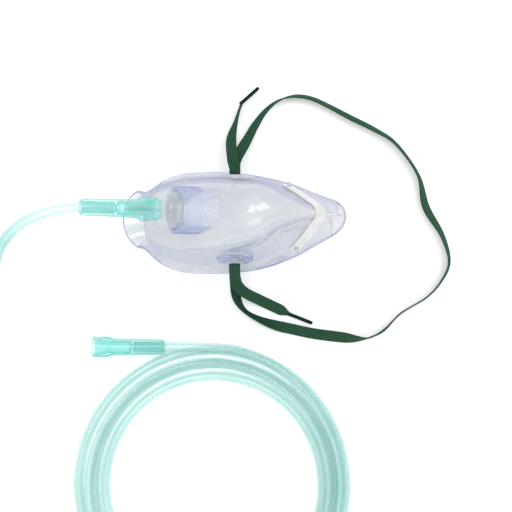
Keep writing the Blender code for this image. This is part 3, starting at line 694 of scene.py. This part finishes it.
def curve_through(rows, steps):
    """Points on a smooth curve through rows; the first and last rows only set how it leaves its ends."""
    found = []
    for i in range(1, len(rows) - 2):
        p0, p1, p2, p3 = rows[i - 1 : i + 3]
        for t in np.linspace(0, 1, steps, endpoint=False):
            square = (2 * p0 - 5 * p1 + 4 * p2 - p3) * t**2
            cube = (3 * p1 - p0 - 3 * p2 + p3) * t**3
            found.append(0.5 * (2 * p1 + (p2 - p0) * t + square + cube))
    return np.array(found + [rows[-2]])


def smooth_line(rows, count):
    """count points evenly spaced on a smooth curve through rows; each row is any list of numbers."""
    rows = np.array(rows, float)
    ends = np.vstack([2 * rows[0] - rows[1], rows, 2 * rows[-1] - rows[-2]])
    fine = curve_through(ends, 16)
    along = np.concatenate([[0], np.cumsum(np.linalg.norm(np.diff(fine[:, :3], axis=0), axis=1))])
    at = np.linspace(0, along[-1], count)
    return np.stack([np.interp(at, along, fine[:, k]) for k in range(fine.shape[1])], axis=1)


def length_of(points):
    return float(np.linalg.norm(np.diff(np.array(points)[:, :3], axis=0), axis=1).sum())


# ---- Camera, light and floor ----------------------------------------------------------------------
def make_stage():
    camera = bpy.data.objects.new("camera", bpy.data.cameras.new("camera"))
    camera.data.lens = CAMERA_LENS
    camera.data.sensor_width = CAMERA_SENSOR
    camera.data.clip_start, camera.data.clip_end = CAMERA_REACH
    back = Vector((0, -math.cos(CAMERA_ELEVATION), math.sin(CAMERA_ELEVATION)))
    camera.location = (CAMERA_AIM + back * CAMERA_DISTANCE) * MM
    camera.rotation_euler = (-back).to_track_quat("-Z", "Y").to_euler()
    bpy.context.scene.collection.objects.link(camera)
    bpy.context.scene.camera = camera
    bpy.context.scene.view_settings.view_transform = "Standard"

    world = bpy.data.worlds.new("studio")
    world.use_nodes = True
    world.node_tree.nodes["Background"].inputs["Color"].default_value = (1.0, 1.0, 1.0, 1.0)
    world.node_tree.nodes["Background"].inputs["Strength"].default_value = WORLD_STRENGTH
    bpy.context.scene.world = world

    for name, place, size, power in SOFTBOXES:
        light = bpy.data.lights.new(name, "AREA")
        light.shape = "RECTANGLE"
        light.size, light.size_y = size
        light.energy = power
        lamp = bpy.data.objects.new(name, light)
        lamp.location = place
        lamp.rotation_euler = (SOFTBOX_AIM - Vector(place)).to_track_quat("-Z", "Y").to_euler()
        bpy.context.scene.collection.objects.link(lamp)

    bm = bmesh.new()
    bmesh.ops.create_grid(bm, x_segments=8, y_segments=8, size=FLOOR_SIZE)
    floor = add_object("floor", mesh_from(bm, "floor"), floor_material())
    floor.location.z = FLOOR_HEIGHT
    floor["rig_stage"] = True


# ---- Tubing ---------------------------------------------------------------------------------------
def coil_points():
    """Centreline of the coil, from the lead's end at the bottom round to the supply end at the top."""
    turns = np.array(COIL_TURNS, float)
    degrees = np.arange(turns[-1][0], -0.1, -TURN_STEP)
    found = []
    for degree in degrees:
        i = int(np.clip(np.searchsorted(turns[:, 0], degree) - 1, 0, len(turns) - 2))
        start, end = turns[i], turns[i + 1]
        t = (degree - start[0]) / (end[0] - start[0])
        before, after = turns[max(i - 1, 0)], turns[min(i + 2, len(turns) - 1)]
        step = end[0] - start[0]
        slope_a = (end[1:] - before[1:]) / max(end[0] - before[0], 1) * step
        slope_b = (after[1:] - start[1:]) / max(after[0] - start[0], 1) * step
        radius, height = (
            start[1:] * (2 * t**3 - 3 * t**2 + 1)
            + slope_a * (t**3 - 2 * t**2 + t)
            + end[1:] * (3 * t**2 - 2 * t**3)
            + slope_b * (t**3 - t**2)
        )
        angle = math.radians(90 - degree)
        found.append(COIL_CENTRE + Vector((radius * math.cos(angle), radius * math.sin(angle), height)))
    return [tuple(p) for p in found]


def tube_path():
    seat = CONNECTOR_START + TUBE_SEAT
    stops = (seat, seat + SEAT_STRAIGHT, CONNECTOR_START + CONNECTOR_LENGTH)
    inside = [PORT_MOUTH + PORT_AXIS * stop for stop in stops]
    bends = (SUPPLY_RUN_IN, Vector((CONNECTOR_LENGTH, 0, 0)), Vector((TUBE_SEAT, 0, 0)))
    tail = [SUPPLY_MOUTH + bend for bend in bends]
    route = [tuple(p) for p in inside] + list(LEAD_ROUTE) + coil_points() + [tuple(p) for p in tail]
    return smooth_line(route, TUBE_POINTS)


def frames_along(path):
    """Two directions square to the path at each point, carried along it without twist."""
    points = [Vector(p) for p in path]
    tangents = []
    for i in range(len(points)):
        tangents.append((points[min(i + 1, len(points) - 1)] - points[max(i - 1, 0)]).normalized())
    side = tangents[0].orthogonal().normalized()
    found = []
    for tangent in tangents:
        side = (side - side.dot(tangent) * tangent).normalized()
        found.append((side, tangent.cross(side)))
    return found


def hose_mesh(name, path, outer, inner, sides):
    """Hollow tube along a path in millimetres."""
    bm = bmesh.new()
    walls = []
    for radius in (outer, inner):
        rings = []
        for point, (u, v) in zip(path, frames_along(path)):
            ring = []
            for k in range(sides):
                a = 2 * math.pi * k / sides
                out = (u * math.cos(a) + v * math.sin(a)) * radius
                ring.append(bm.verts.new((Vector(point) + out) * MM))
            rings.append(ring)
        walls.append(rings)
    for rings, flip in zip(walls, (False, True)):
        for a, b in zip(rings, rings[1:]):
            for k in range(sides):
                n = (k + 1) % sides
                quad = (a[k], a[n], b[n], b[k])
                bm.faces.new(quad[::-1] if flip else quad)
    for end, flip in ((0, True), (-1, False)):
        for k in range(sides):
            n = (k + 1) % sides
            quad = (walls[0][end][k], walls[0][end][n], walls[1][end][n], walls[1][end][k])
            bm.faces.new(quad[::-1] if flip else quad)
    bmesh.ops.recalc_face_normals(bm, faces=bm.faces)
    mesh = mesh_from(bm, name)
    smooth(mesh, 60)
    return mesh


def make_tubing(material):
    path = tube_path()
    tube = add_object("oxygen_tube", hose_mesh("oxygen_tube", path, TUBE_R, TUBE_BORE_R, TUBE_SIDES), material)
    exit_at = PORT_MOUTH + PORT_AXIS * (CONNECTOR_START + CONNECTOR_LENGTH)
    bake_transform(tube)
    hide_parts("tubing_lead", "tubing_coil", "tubing_tail")
    return tube, path, exit_at


# ---- Connectors and adapter -----------------------------------------------------------------------
def connector_mesh(name):
    """Push-on connector with its wide mouth at height 0, running down to the tube's socket."""
    body = add_object(name + "_body", lathe(name, rounded(CONNECTOR_PROFILE)))
    bm = bmesh.new()
    for k in range(LUG_COUNT):
        turn = Matrix.Rotation(2 * math.pi / LUG_COUNT * (k + 0.5), 4, "Z")
        sides = []
        for sign in (-1, 1):
            side = []
            for radius, height, share in LUG_OUTLINE:
                half = LUG_WIDTH / 2 * share
                side.append(bm.verts.new(turn @ Vector((radius * MM, sign * half * MM, height * MM))))
            sides.append(side)
        stitch(bm, sides)
        bm.faces.new(sides[0][::-1])
        bm.faces.new(sides[1])
    bmesh.ops.recalc_face_normals(bm, faces=bm.faces)
    lugs = cut_with(body, mesh_from(bm, "lugs"), "UNION")
    apply_all(body, [lugs])
    mesh = body.data
    bpy.data.objects.remove(body)
    smooth(mesh, 32)
    return mesh


def make_connectors(material):
    found = []
    mesh = connector_mesh("push_connector")
    mesh.materials.clear()
    for name, mouth, outward, lug_turn, body in (
        ("mask_connector", PORT_MOUTH + PORT_AXIS * CONNECTOR_START, -PORT_AXIS, math.pi / 4, "connector"),
        ("supply_connector", SUPPLY_MOUTH, Vector((-1, 0, 0)), 0.0, "mask"),
    ):
        piece = add_object(name + "_moulding", mesh.copy(), material)
        piece.matrix_world = aimed(mouth, outward) @ Matrix.Rotation(lug_turn, 4, "Z")
        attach(piece, body)
        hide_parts(name)
        found.append(piece)
    return found


def make_adapter(material):
    profile = rounded(ADAPTER_PROFILE, radius=0.6)
    mesh = lathe("adapter_moulding", profile, ROUND_SEGMENTS)
    smooth(mesh, 40)
    adapter = add_object("adapter_moulding", mesh, material)
    adapter.matrix_world = aimed(PORT_MOUTH, PORT_AXIS)
    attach(adapter, "adapter")
    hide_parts("swivel_adapter")


# ---- Strap ----------------------------------------------------------------------------------------
def boss_frame(side):
    centre = Vector((BOSS_CENTRE.x, side * BOSS_CENTRE.y, BOSS_CENTRE.z))
    normal = Vector((0, side * math.cos(BOSS_TILT), math.sin(BOSS_TILT)))
    return centre, normal


def rolled(route, count):
    """Evenly spaced rows along a route of (x, y, z, roll), with the width direction worked out."""
    line = smooth_line(route, count)
    rows = []
    for i, row in enumerate(line):
        along = Vector(line[min(i + 1, count - 1)][:3] - line[max(i - 1, 0)][:3]).normalized()
        level = Vector((0, 0, 1)).cross(along).normalized()
        roll = math.radians(row[3])
        across = level * math.cos(roll) + along.cross(level) * math.sin(roll)
        rows.append((*row[:3], *across))
    return rows


def wrap_rows(side):
    """The strap's turn round the eye's bar, from under the bar to above it."""
    centre, normal = boss_frame(side)
    up = Vector((0, -side * math.sin(BOSS_TILT), math.cos(BOSS_TILT)))
    middle = centre + normal * EYE_BAR
    turn = [middle + normal * 2.6 - up * WRAP_R, middle + normal * 1.3 - up * WRAP_R]
    for k in range(WRAP_STEPS + 1):
        angle = math.pi * k / WRAP_STEPS
        turn.append(middle - (normal * math.sin(angle) + up * math.cos(angle)) * WRAP_R)
    turn += [middle + normal * 1.3 + up * WRAP_R]
    return [(*p, -side, 0, 0) for p in turn]


def ribbon_mesh(name, rows, taper=0.0):
    """Ribbed strap along rows of (x, y, z, width direction); taper is the length it gathers over."""
    length = length_of(rows)
    count = max(int(length / STRAP_STEP), 12)
    line = smooth_line(rows, count)
    bm = bmesh.new()
    uv = bm.loops.layers.uv.new("UVMap")
    places = {}
    rings = []
    for i, row in enumerate(line):
        here = Vector(row[:3])
        along = Vector(line[min(i + 1, count - 1)][:3] - line[max(i - 1, 0)][:3]).normalized()
        across = Vector(row[3:6])
        across = (across - across.dot(along) * along).normalized()
        thick = along.cross(across)
        left = length * (1 - i / (count - 1))
        gather = min(left / taper, 1.0) if taper else 1.0
        gather = gather * gather * (3 - 2 * gather)
        width = GATHERED_WIDTH + (STRAP_WIDTH - GATHERED_WIDTH) * gather
        half = STRAP_THICKNESS / 2 * (1 + 0.9 * (1 - gather))
        ring = []
        for face in (1, -1):
            for k in range(STRAP_COLUMNS + 1):
                share = k / STRAP_COLUMNS if face > 0 else 1 - k / STRAP_COLUMNS
                rib = RIB_DEPTH * math.cos(2 * math.pi * STRAP_RIBS * share)
                selvedge = min(share, 1 - share) * STRAP_COLUMNS
                height = (half - RIB_DEPTH + rib * gather) * (0.55 if selvedge < 0.5 else 1.0)
                vert = bm.verts.new((here + across * (share - 0.5) * width + thick * face * height) * MM)
                places[vert] = (share, length * i / (count - 1) / STRAP_WIDTH)
                ring.append(vert)
        rings.append(ring)
    close_strip(bm, rings, uv, places)
    mesh = mesh_from(bm, name)
    smooth(mesh, 60)
    return mesh, [tuple(v * MM for v in row[:3]) for row in line]


def tip_mesh(name):
    """Crimped end: a rolled, pressed sleeve with a mouth where the strap goes in."""
    profile = [(0.0, TIP_LENGTH), (TIP_R * 0.72, TIP_LENGTH - 0.1), (TIP_R * 0.95, TIP_LENGTH - 0.9)]
    for k in range(TIP_RIDGES):
        height = TIP_LENGTH - 1.6 - k * TIP_RIDGE_STEP
        profile.append((TIP_R * (0.97 if k % 2 else 1.04), height))
    profile += [(TIP_R * 1.12, -0.6), (TIP_R * 1.05, -1.4), (0.0, -1.4)]
    mesh = lathe(name, profile, 20, closed=False)
    uv = mesh.uv_layers.new(name="UVMap")
    for loop in mesh.loops:
        place = mesh.vertices[loop.vertex_index].co
        uv.data[loop.index].uv = (math.atan2(place.y, place.x) / math.pi, place.z / MM / STRAP_WIDTH)
    smooth(mesh, 60)
    return mesh


def make_strap(fabric, crimp):
    loop_rows = rolled(STRAP_LOOP, 120)
    mesh, path = ribbon_mesh("head_strap_loop", loop_rows)
    loop = add_object("head_strap_loop", mesh, fabric)
    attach(loop, "mask")
    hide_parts("strap_loop")
    for side, word, end, tail, tip_end in (
        (1, "right", STRAP_END_RIGHT, STRAP_TAIL_RIGHT, TIP_RIGHT_END),
        (-1, "left", STRAP_END_LEFT, STRAP_TAIL_LEFT, TIP_LEFT_END),
    ):
        rows = rolled(end, 14)[::-1] + wrap_rows(side) + rolled(tail, 18)
        mesh, path = ribbon_mesh("head_strap_" + word, rows, taper=7.0)
        strap = add_object("head_strap_" + word, mesh, fabric)
        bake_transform(strap)
        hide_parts("strap_end_" + word, "strap_tail_" + word)
        start = Vector(tail[-1][:3])
        tip = add_object("strap_crimp_" + word, tip_mesh("strap_crimp_" + word), crimp)
        tip.matrix_world = aimed(start, Vector(tip_end) - start)
        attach(tip, "mask")
        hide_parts("strap_tip_" + word)


# ---- Mask shell -----------------------------------------------------------------------------------
def through_stations(table, steps):
    """Points through a half table whose curve crosses the mask's middle plane square on."""
    rows = np.array(table, float)
    flip = np.ones(rows.shape[1])
    flip[1] = -1
    ends = np.vstack([rows[1] * flip, rows, rows[-2] * flip])
    return curve_through(ends, steps)


def bezier(p0, p1, p2, p3, rows):
    t = np.linspace(0, 1, rows + 1)[:, None]
    return (1 - t) ** 3 * p0 + 3 * (1 - t) ** 2 * t * p1 + 3 * (1 - t) * t**2 * p2 + t**3 * p3


def shell_section(rim, waist, crest, side, rows):
    """Points from the rim over the waist to the crest at one station, on one side."""
    flare = rim[3]
    rim_point = np.array([rim[0], side * rim[1], rim[2]])
    waist_point = np.array([waist[0], side * waist[1] + waist[3], waist[2]])
    crest_point = np.array([crest[0], 0.0, crest[2]])
    rise = waist_point - rim_point
    near, far = (
        np.array(a) * (1 - flare) + np.array(b) * flare
        for a, b in zip(STRAIGHT_HANDLES, FLARED_HANDLES)
    )
    near_handle = rim_point + rise * (near[0], near[0], near[1])
    far_handle = waist_point - rise * (far[0], far[0], far[1])
    skirt = bezier(rim_point, near_handle, far_handle, waist_point, rows[0])
    out = waist_point - crest_point
    out[2] = 0
    height = crest_point[2] - waist_point[2]
    wall_handle = waist_point + out * DOME_BULGE + np.array([0, 0, DOME_RISE * height])
    crown_handle = crest_point + out * DOME_CROWN
    dome = bezier(waist_point, wall_handle, crown_handle, crest_point, rows[1])
    return np.vstack([skirt, dome[1:]])


def shell_rings(fineness=FINE):
    """Columns of points round the whole shell, each from rim to crest."""
    steps, *rows = fineness
    rim, waist = through_stations(RIM, steps), through_stations(WAIST, steps)
    crest = through_stations([(x, 0.0, z) for x, z in CREST], steps)
    crest = np.maximum(crest, (CREST[-1][0], 0.0, CREST[-1][1]))
    last = len(rim) - 1
    right = [shell_section(rim[i], waist[i], crest[i], 1, rows) for i in range(last + 1)]
    left = [shell_section(rim[i], waist[i], crest[i], -1, rows) for i in range(last - 1, 0, -1)]
    return right + left


def surface_bmesh(columns):
    bm = bmesh.new()
    grid = [[bm.verts.new(Vector(p) * MM) for p in column] for column in columns]
    for i, column in enumerate(grid):
        beside = grid[(i + 1) % len(grid)]
        for k in range(len(column) - 1):
            bm.faces.new((column[k], beside[k], beside[k + 1], column[k + 1]))
    bmesh.ops.remove_doubles(bm, verts=bm.verts, dist=0.00002)
    return bm


def shell_inside():
    """Solid that fills the mask from chin to bridge, up to a skin's depth inside its wall."""
    columns = shell_rings(COARSE)
    tree = BVHTree.FromBMesh(surface_bmesh(columns))
    bm = bmesh.new()
    loops = []
    for i in range(1, len(columns) // 2):
        if not INSIDE_SPAN[0] < columns[i][-1][0] < INSIDE_SPAN[1]:
            continue
        loop = []
        for point in list(columns[i]) + list(columns[-i][-2::-1]):
            place = Vector(point)
            _, normal, _, _ = tree.find_nearest(place * MM)
            if normal.dot(place - Vector((place.x, 0, INSIDE_MIDDLE))) < 0:
                normal = -normal
            place -= normal * INSIDE_DEPTH * WALL
            if point[1] == 0:
                place.y = 0
            loop.append(place)
        first, last = (Vector((loop[at].x, loop[at].y, INSIDE_FLOOR)) for at in (0, -1))
        loops.append([bm.verts.new(place * MM) for place in (first, *loop, last)])
    stitch(bm, loops)
    bm.faces.new(loops[0])
    bm.faces.new(loops[-1])
    bmesh.ops.recalc_face_normals(bm, faces=bm.faces)
    return mesh_from(bm, "inside")


def clip_line():
    """Points and outward normals of the nose clip's middle line, lying on the shell."""
    tree = BVHTree.FromBMesh(surface_bmesh(shell_rings()))
    found = []
    for x, y in smooth_line([(x, y, 0) for x, y in CLIP_PLAN], CLIP_POINTS)[:, :2]:
        place, normal, _, _ = tree.ray_cast(Vector((x, y, 100)) * MM, Vector((0, 0, -1)))
        if normal.z < 0:
            normal = -normal
        found.append([place / MM, normal.copy()])
    for _ in range(CLIP_SMOOTHING):
        old = [n for _, n in found]
        for i in range(1, len(found) - 1):
            found[i][1] = (old[i - 1] + old[i] * 2 + old[i + 1]).normalized()
    return [(place + normal * CLIP_LIFT, normal) for place, normal in found]


def post_places(points):
    """The two clip points that the posts pass through, at the same share of the clip as in the frame."""
    found = []
    for at in POST_AT:
        share = at / (CAD_CLIP_POINTS - 1) if at >= 0 else 1 + (at + 1) / (CAD_CLIP_POINTS - 1)
        found.append(points[round(share * (len(points) - 1))])
    return found


def soften_rim(mesh):
    """Rounds both edges of the rim's cut face, which is the mesh's third material."""
    bm = bmesh.new()
    bm.from_mesh(mesh)
    edges = [e for e in bm.edges if sum(f.material_index for f in e.link_faces) == RIM_SLOT]
    bmesh.ops.bevel(
        bm,
        geom=edges,
        offset=RIM_SOFTNESS * MM,
        segments=3,
        profile=0.5,
        affect="EDGES",
        material=RIM_SLOT,
    )
    bm.to_mesh(mesh)
    bm.free()


def flatten_under(mesh):
    """Cuts the cheeks flat where the mask rests on them, at height 0."""
    bm = bmesh.new()
    bm.from_mesh(mesh)
    everything = list(bm.verts) + list(bm.edges) + list(bm.faces)
    bmesh.ops.bisect_plane(
        bm,
        geom=everything,
        dist=1e-7,
        plane_co=(0, 0, 0),
        plane_no=(0, 0, 1),
        clear_inner=True,
    )
    bmesh.ops.triangle_fill(bm, edges=[e for e in bm.edges if e.is_boundary], use_beauty=True)
    bmesh.ops.recalc_face_normals(bm, faces=bm.faces)
    bm.to_mesh(mesh)
    bm.free()


def without_inside(mesh):
    """The mesh cut off where it would stand out inside the mask."""
    thing = add_object("addition", mesh)
    apply_all(thing, [cut_with(thing, shell_inside(), "DIFFERENCE")])
    kept = thing.data
    bpy.data.objects.remove(thing)
    return kept


def is_tinted(place):
    """Whether a spot on the shell belongs to the frosted cuff band or to a strap boss."""
    for side in (1, -1):
        centre, normal = boss_frame(side)
        height = (place - centre).dot(normal)
        radius = (place - centre - normal * height).length
        on_face = abs(height) < 0.05
        on_side = radius > BOSS_R - 0.2 and -BOSS_DEPTH < height < 0.1
        if radius < BOSS_R + 0.1 and (on_face or on_side):
            return True
    along = (place - PORT_MOUTH).dot(PORT_AXIS)
    radius = (place - PORT_MOUTH - PORT_AXIS * along).length
    return -CUFF_BAND - 0.6 < along and radius < CUFF_R + 0.2


def make_shell(posts, vinyl, frosted, rim):
    outside = mesh_from(surface_bmesh(shell_rings()), "mask_moulding")
    shell = add_object("mask_moulding", outside, vinyl, frosted, rim)
    skin = shell.modifiers.new("wall", "SOLIDIFY")
    skin.thickness = WALL * MM
    skin.offset = -1
    skin.use_even_offset = False
    skin.material_offset_rim = RIM_SLOT
    apply_all(shell)
    soften_rim(shell.data)

    cuff = lathe(
        "cuff",
        (
            (12.2, 0.0),
            (12.7, -0.1),
            (CUFF_R, -0.5),
            (CUFF_R, -CUFF_BAND),
            (12.9, -CUFF_BAND - 0.3),
            (CUFF_NECK_R, -CUFF_BAND - 0.5),
            (CUFF_NECK_R, -CUFF_DEPTH + 0.5),
            (12.0, -CUFF_DEPTH),
            (CUFF_BORE_R - 0.5, -CUFF_DEPTH),
            (CUFF_BORE_R - 0.5, 0.0),
        ),
        ROUND_SEGMENTS,
    )
    cuff.transform(aimed(PORT_MOUTH, PORT_AXIS))
    tools = [cut_with(shell, without_inside(cuff), "UNION")]

    bm = bmesh.new()
    for side in (1, -1):
        centre, normal = boss_frame(side)
        rod_into(bm, BOSS_R, -BOSS_DEPTH, 0, BOSS_SEGMENTS, aimed(centre, normal, (1, 0, 0)))
    tools.append(cut_with(shell, without_inside(mesh_from(bm, "bosses")), "UNION"))

    bm = bmesh.new()
    for point, normal in posts:
        place = aimed(point - normal * CLIP_LIFT, normal, (1, 0, 0))
        rod_into(bm, POST_R, -0.7 * WALL, POST_HEIGHT, ROD_SEGMENTS, place)
    top = PORT_AXIS.cross(Vector((0, 1, 0))).normalized()
    top = top if top.z > 0 else -top
    gate = PORT_MOUTH - PORT_AXIS * (CUFF_BAND + 4.0) + top * 12.2
    rod_into(bm, GATE_R, 0, GATE_HEIGHT, ROD_SEGMENTS, aimed(gate, top))
    tab = PORT_MOUTH - PORT_AXIS * (CUFF_BAND - 3.5) + Vector((0, -12.6, 0))
    rod_into(bm, TAB_R, 0, TAB_HEIGHT, ROD_SEGMENTS, aimed(tab, Vector((0, -1, 0))))
    tools.append(cut_with(shell, mesh_from(bm, "small_parts"), "UNION"))

    bm = bmesh.new()
    rod_into(bm, CUFF_BORE_R, -CUFF_DEPTH - 1, 2, ROUND_SEGMENTS, aimed(PORT_MOUTH, PORT_AXIS))
    for side in (1, -1):
        centre, normal = boss_frame(side)
        place = aimed(centre, normal, (1, 0, 0))
        rod_into(bm, STEM_HOLE_R, *HOLE_SPAN, HOLE_SEGMENTS, place)
        for k in range(VENT_COUNT):
            angle = 2 * math.pi * k / VENT_COUNT
            offset = Vector((math.cos(angle), math.sin(angle), 0)) * VENT_CIRCLE_R * MM
            rod_into(bm, VENT_R, *HOLE_SPAN, HOLE_SEGMENTS, place @ Matrix.Translation(offset))
    tools.append(cut_with(shell, mesh_from(bm, "holes"), "DIFFERENCE"))
    apply_all(shell, tools)
    flatten_under(shell.data)

    mesh = shell.data
    while len(mesh.materials) > RIM_SLOT + 1:
        mesh.materials.pop()
    for face in mesh.polygons:
        if face.material_index != RIM_SLOT:
            face.material_index = int(is_tinted(face.center / MM))
    smooth(mesh, 34)
    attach(shell, "mask")
    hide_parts("mask_shell")


def make_clip(points, posts, metal):
    bm = bmesh.new()
    uv = bm.loops.layers.uv.new("UVMap")
    places = {}
    rings = []
    length = length_of([tuple(p) for p, _ in points])
    last = len(points) - 1
    for i, (point, normal) in enumerate(points):
        along = (points[min(i + 1, last)][0] - points[max(i - 1, 0)][0]).normalized()
        across = along.cross(normal).normalized()
        up = across.cross(along).normalized()
        from_end = min(i, last - i) / last * length
        reach = CLIP_WIDTH / 2
        inset = max(1 - from_end / reach, 0.0)
        half = reach * math.sqrt(max(1 - inset * inset, 0.04))
        edge = CLIP_EDGE / half
        ring = []
        for side, lift in (
            (-1 + edge, -1), (1 - edge, -1), (1, -0.5), (1, 0.5),
            (1 - edge, 1), (-1 + edge, 1), (-1, 0.5), (-1, -0.5),
        ):
            vert = bm.verts.new((point + across * half * side + up * CLIP_THICKNESS / 2 * lift) * MM)
            places[vert] = (side * half / CLIP_WIDTH, i / last * length / CLIP_WIDTH)
            ring.append(vert)
        rings.append(ring)
    close_strip(bm, rings, uv, places)
    clip = add_object("nose_clip_strip", mesh_from(bm, "nose_clip_strip"), metal)
    bm = bmesh.new()
    for point, normal in posts:
        rod_into(bm, POST_R + 0.2, -3, 3, ROD_SEGMENTS, aimed(point, normal, (1, 0, 0)))
    tool = cut_with(clip, mesh_from(bm, "clip_holes"), "DIFFERENCE")
    apply_all(clip, [tool])
    while len(clip.data.materials) > 1:
        clip.data.materials.pop()
    smooth(clip.data, 40)
    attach(clip, "mask")
    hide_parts("nose_clip")


def main():
    make_stage()
    vinyl = clear_material(
        "vinyl", (0.60, 0.63, 0.69), (0.15, 0.20, 0.50), (0.24, 0.86),
        blend=0.30, roughness=0.07, ripple=0.08, shine=(0.05, 0.22), bend=1.35,
    )
    frosted = clear_material(
        "vinyl_frosted", (0.60, 0.68, 0.86), (0.05, 0.10, 0.46), (0.28, 0.95),
        blend=0.46, roughness=0.22, ripple=0.15, speckle=0.22, shine=(0.04, 0.14), bend=1.4,
    )
    rim = clear_material(
        "vinyl_rim", (0.14, 0.18, 0.62), (0.03, 0.06, 0.42), (0.55, 0.97),
        blend=0.40, roughness=0.10, shine=(0.04, 0.12),
    )
    hard = clear_material(
        "clear_hard", (0.93, 0.95, 0.97), (0.62, 0.68, 0.80), (0.10, 0.55),
        blend=0.25, roughness=0.05, ripple=0.03, shine=(0.03, 0.12), bend=1.8,
    )
    teal = clear_material(
        "teal", (0.09, 0.86, 0.78), (0.0, 0.34, 0.29), (0.19, 1.0),
        blend=0.42, roughness=0.07, ripple=0.04, shine=(0.03, 0.12), bend=1.8,
    )
    hose = clear_material(
        "hose", (0.52, 0.97, 0.92), (0.0, 0.45, 0.40), (0.14, 1.0),
        blend=0.42, roughness=0.10, ripple=0.015, shine=(0.03, 0.12), bend=2.0,
    )
    fabric = elastic_material("elastic_knit", (0.002, 0.011, 0.005), (0.050, 0.160, 0.090), 34.0)
    crimp = elastic_material("elastic_crimp", (0.003, 0.012, 0.007), (0.012, 0.042, 0.025), 60.0)

    tube, path, exit_at = make_tubing(hose)
    connectors = make_connectors(teal)
    make_strap(fabric, crimp)
    make_adapter(hard)
    points = clip_line()
    posts = post_places(points)
    make_shell(posts, vinyl, frosted, rim)
    make_clip(points, posts, clip_material())
    for word in ("right", "left"):
        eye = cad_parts["strap_eye_" + word]
        eye.data.materials.clear()
        eye.data.materials.append(hard)
        soft = eye.modifiers.new("soft_edges", "BEVEL")
        soft.width = EYE_SOFTNESS * MM
        soft.segments = 2
        soft.limit_method = "ANGLE"


main()
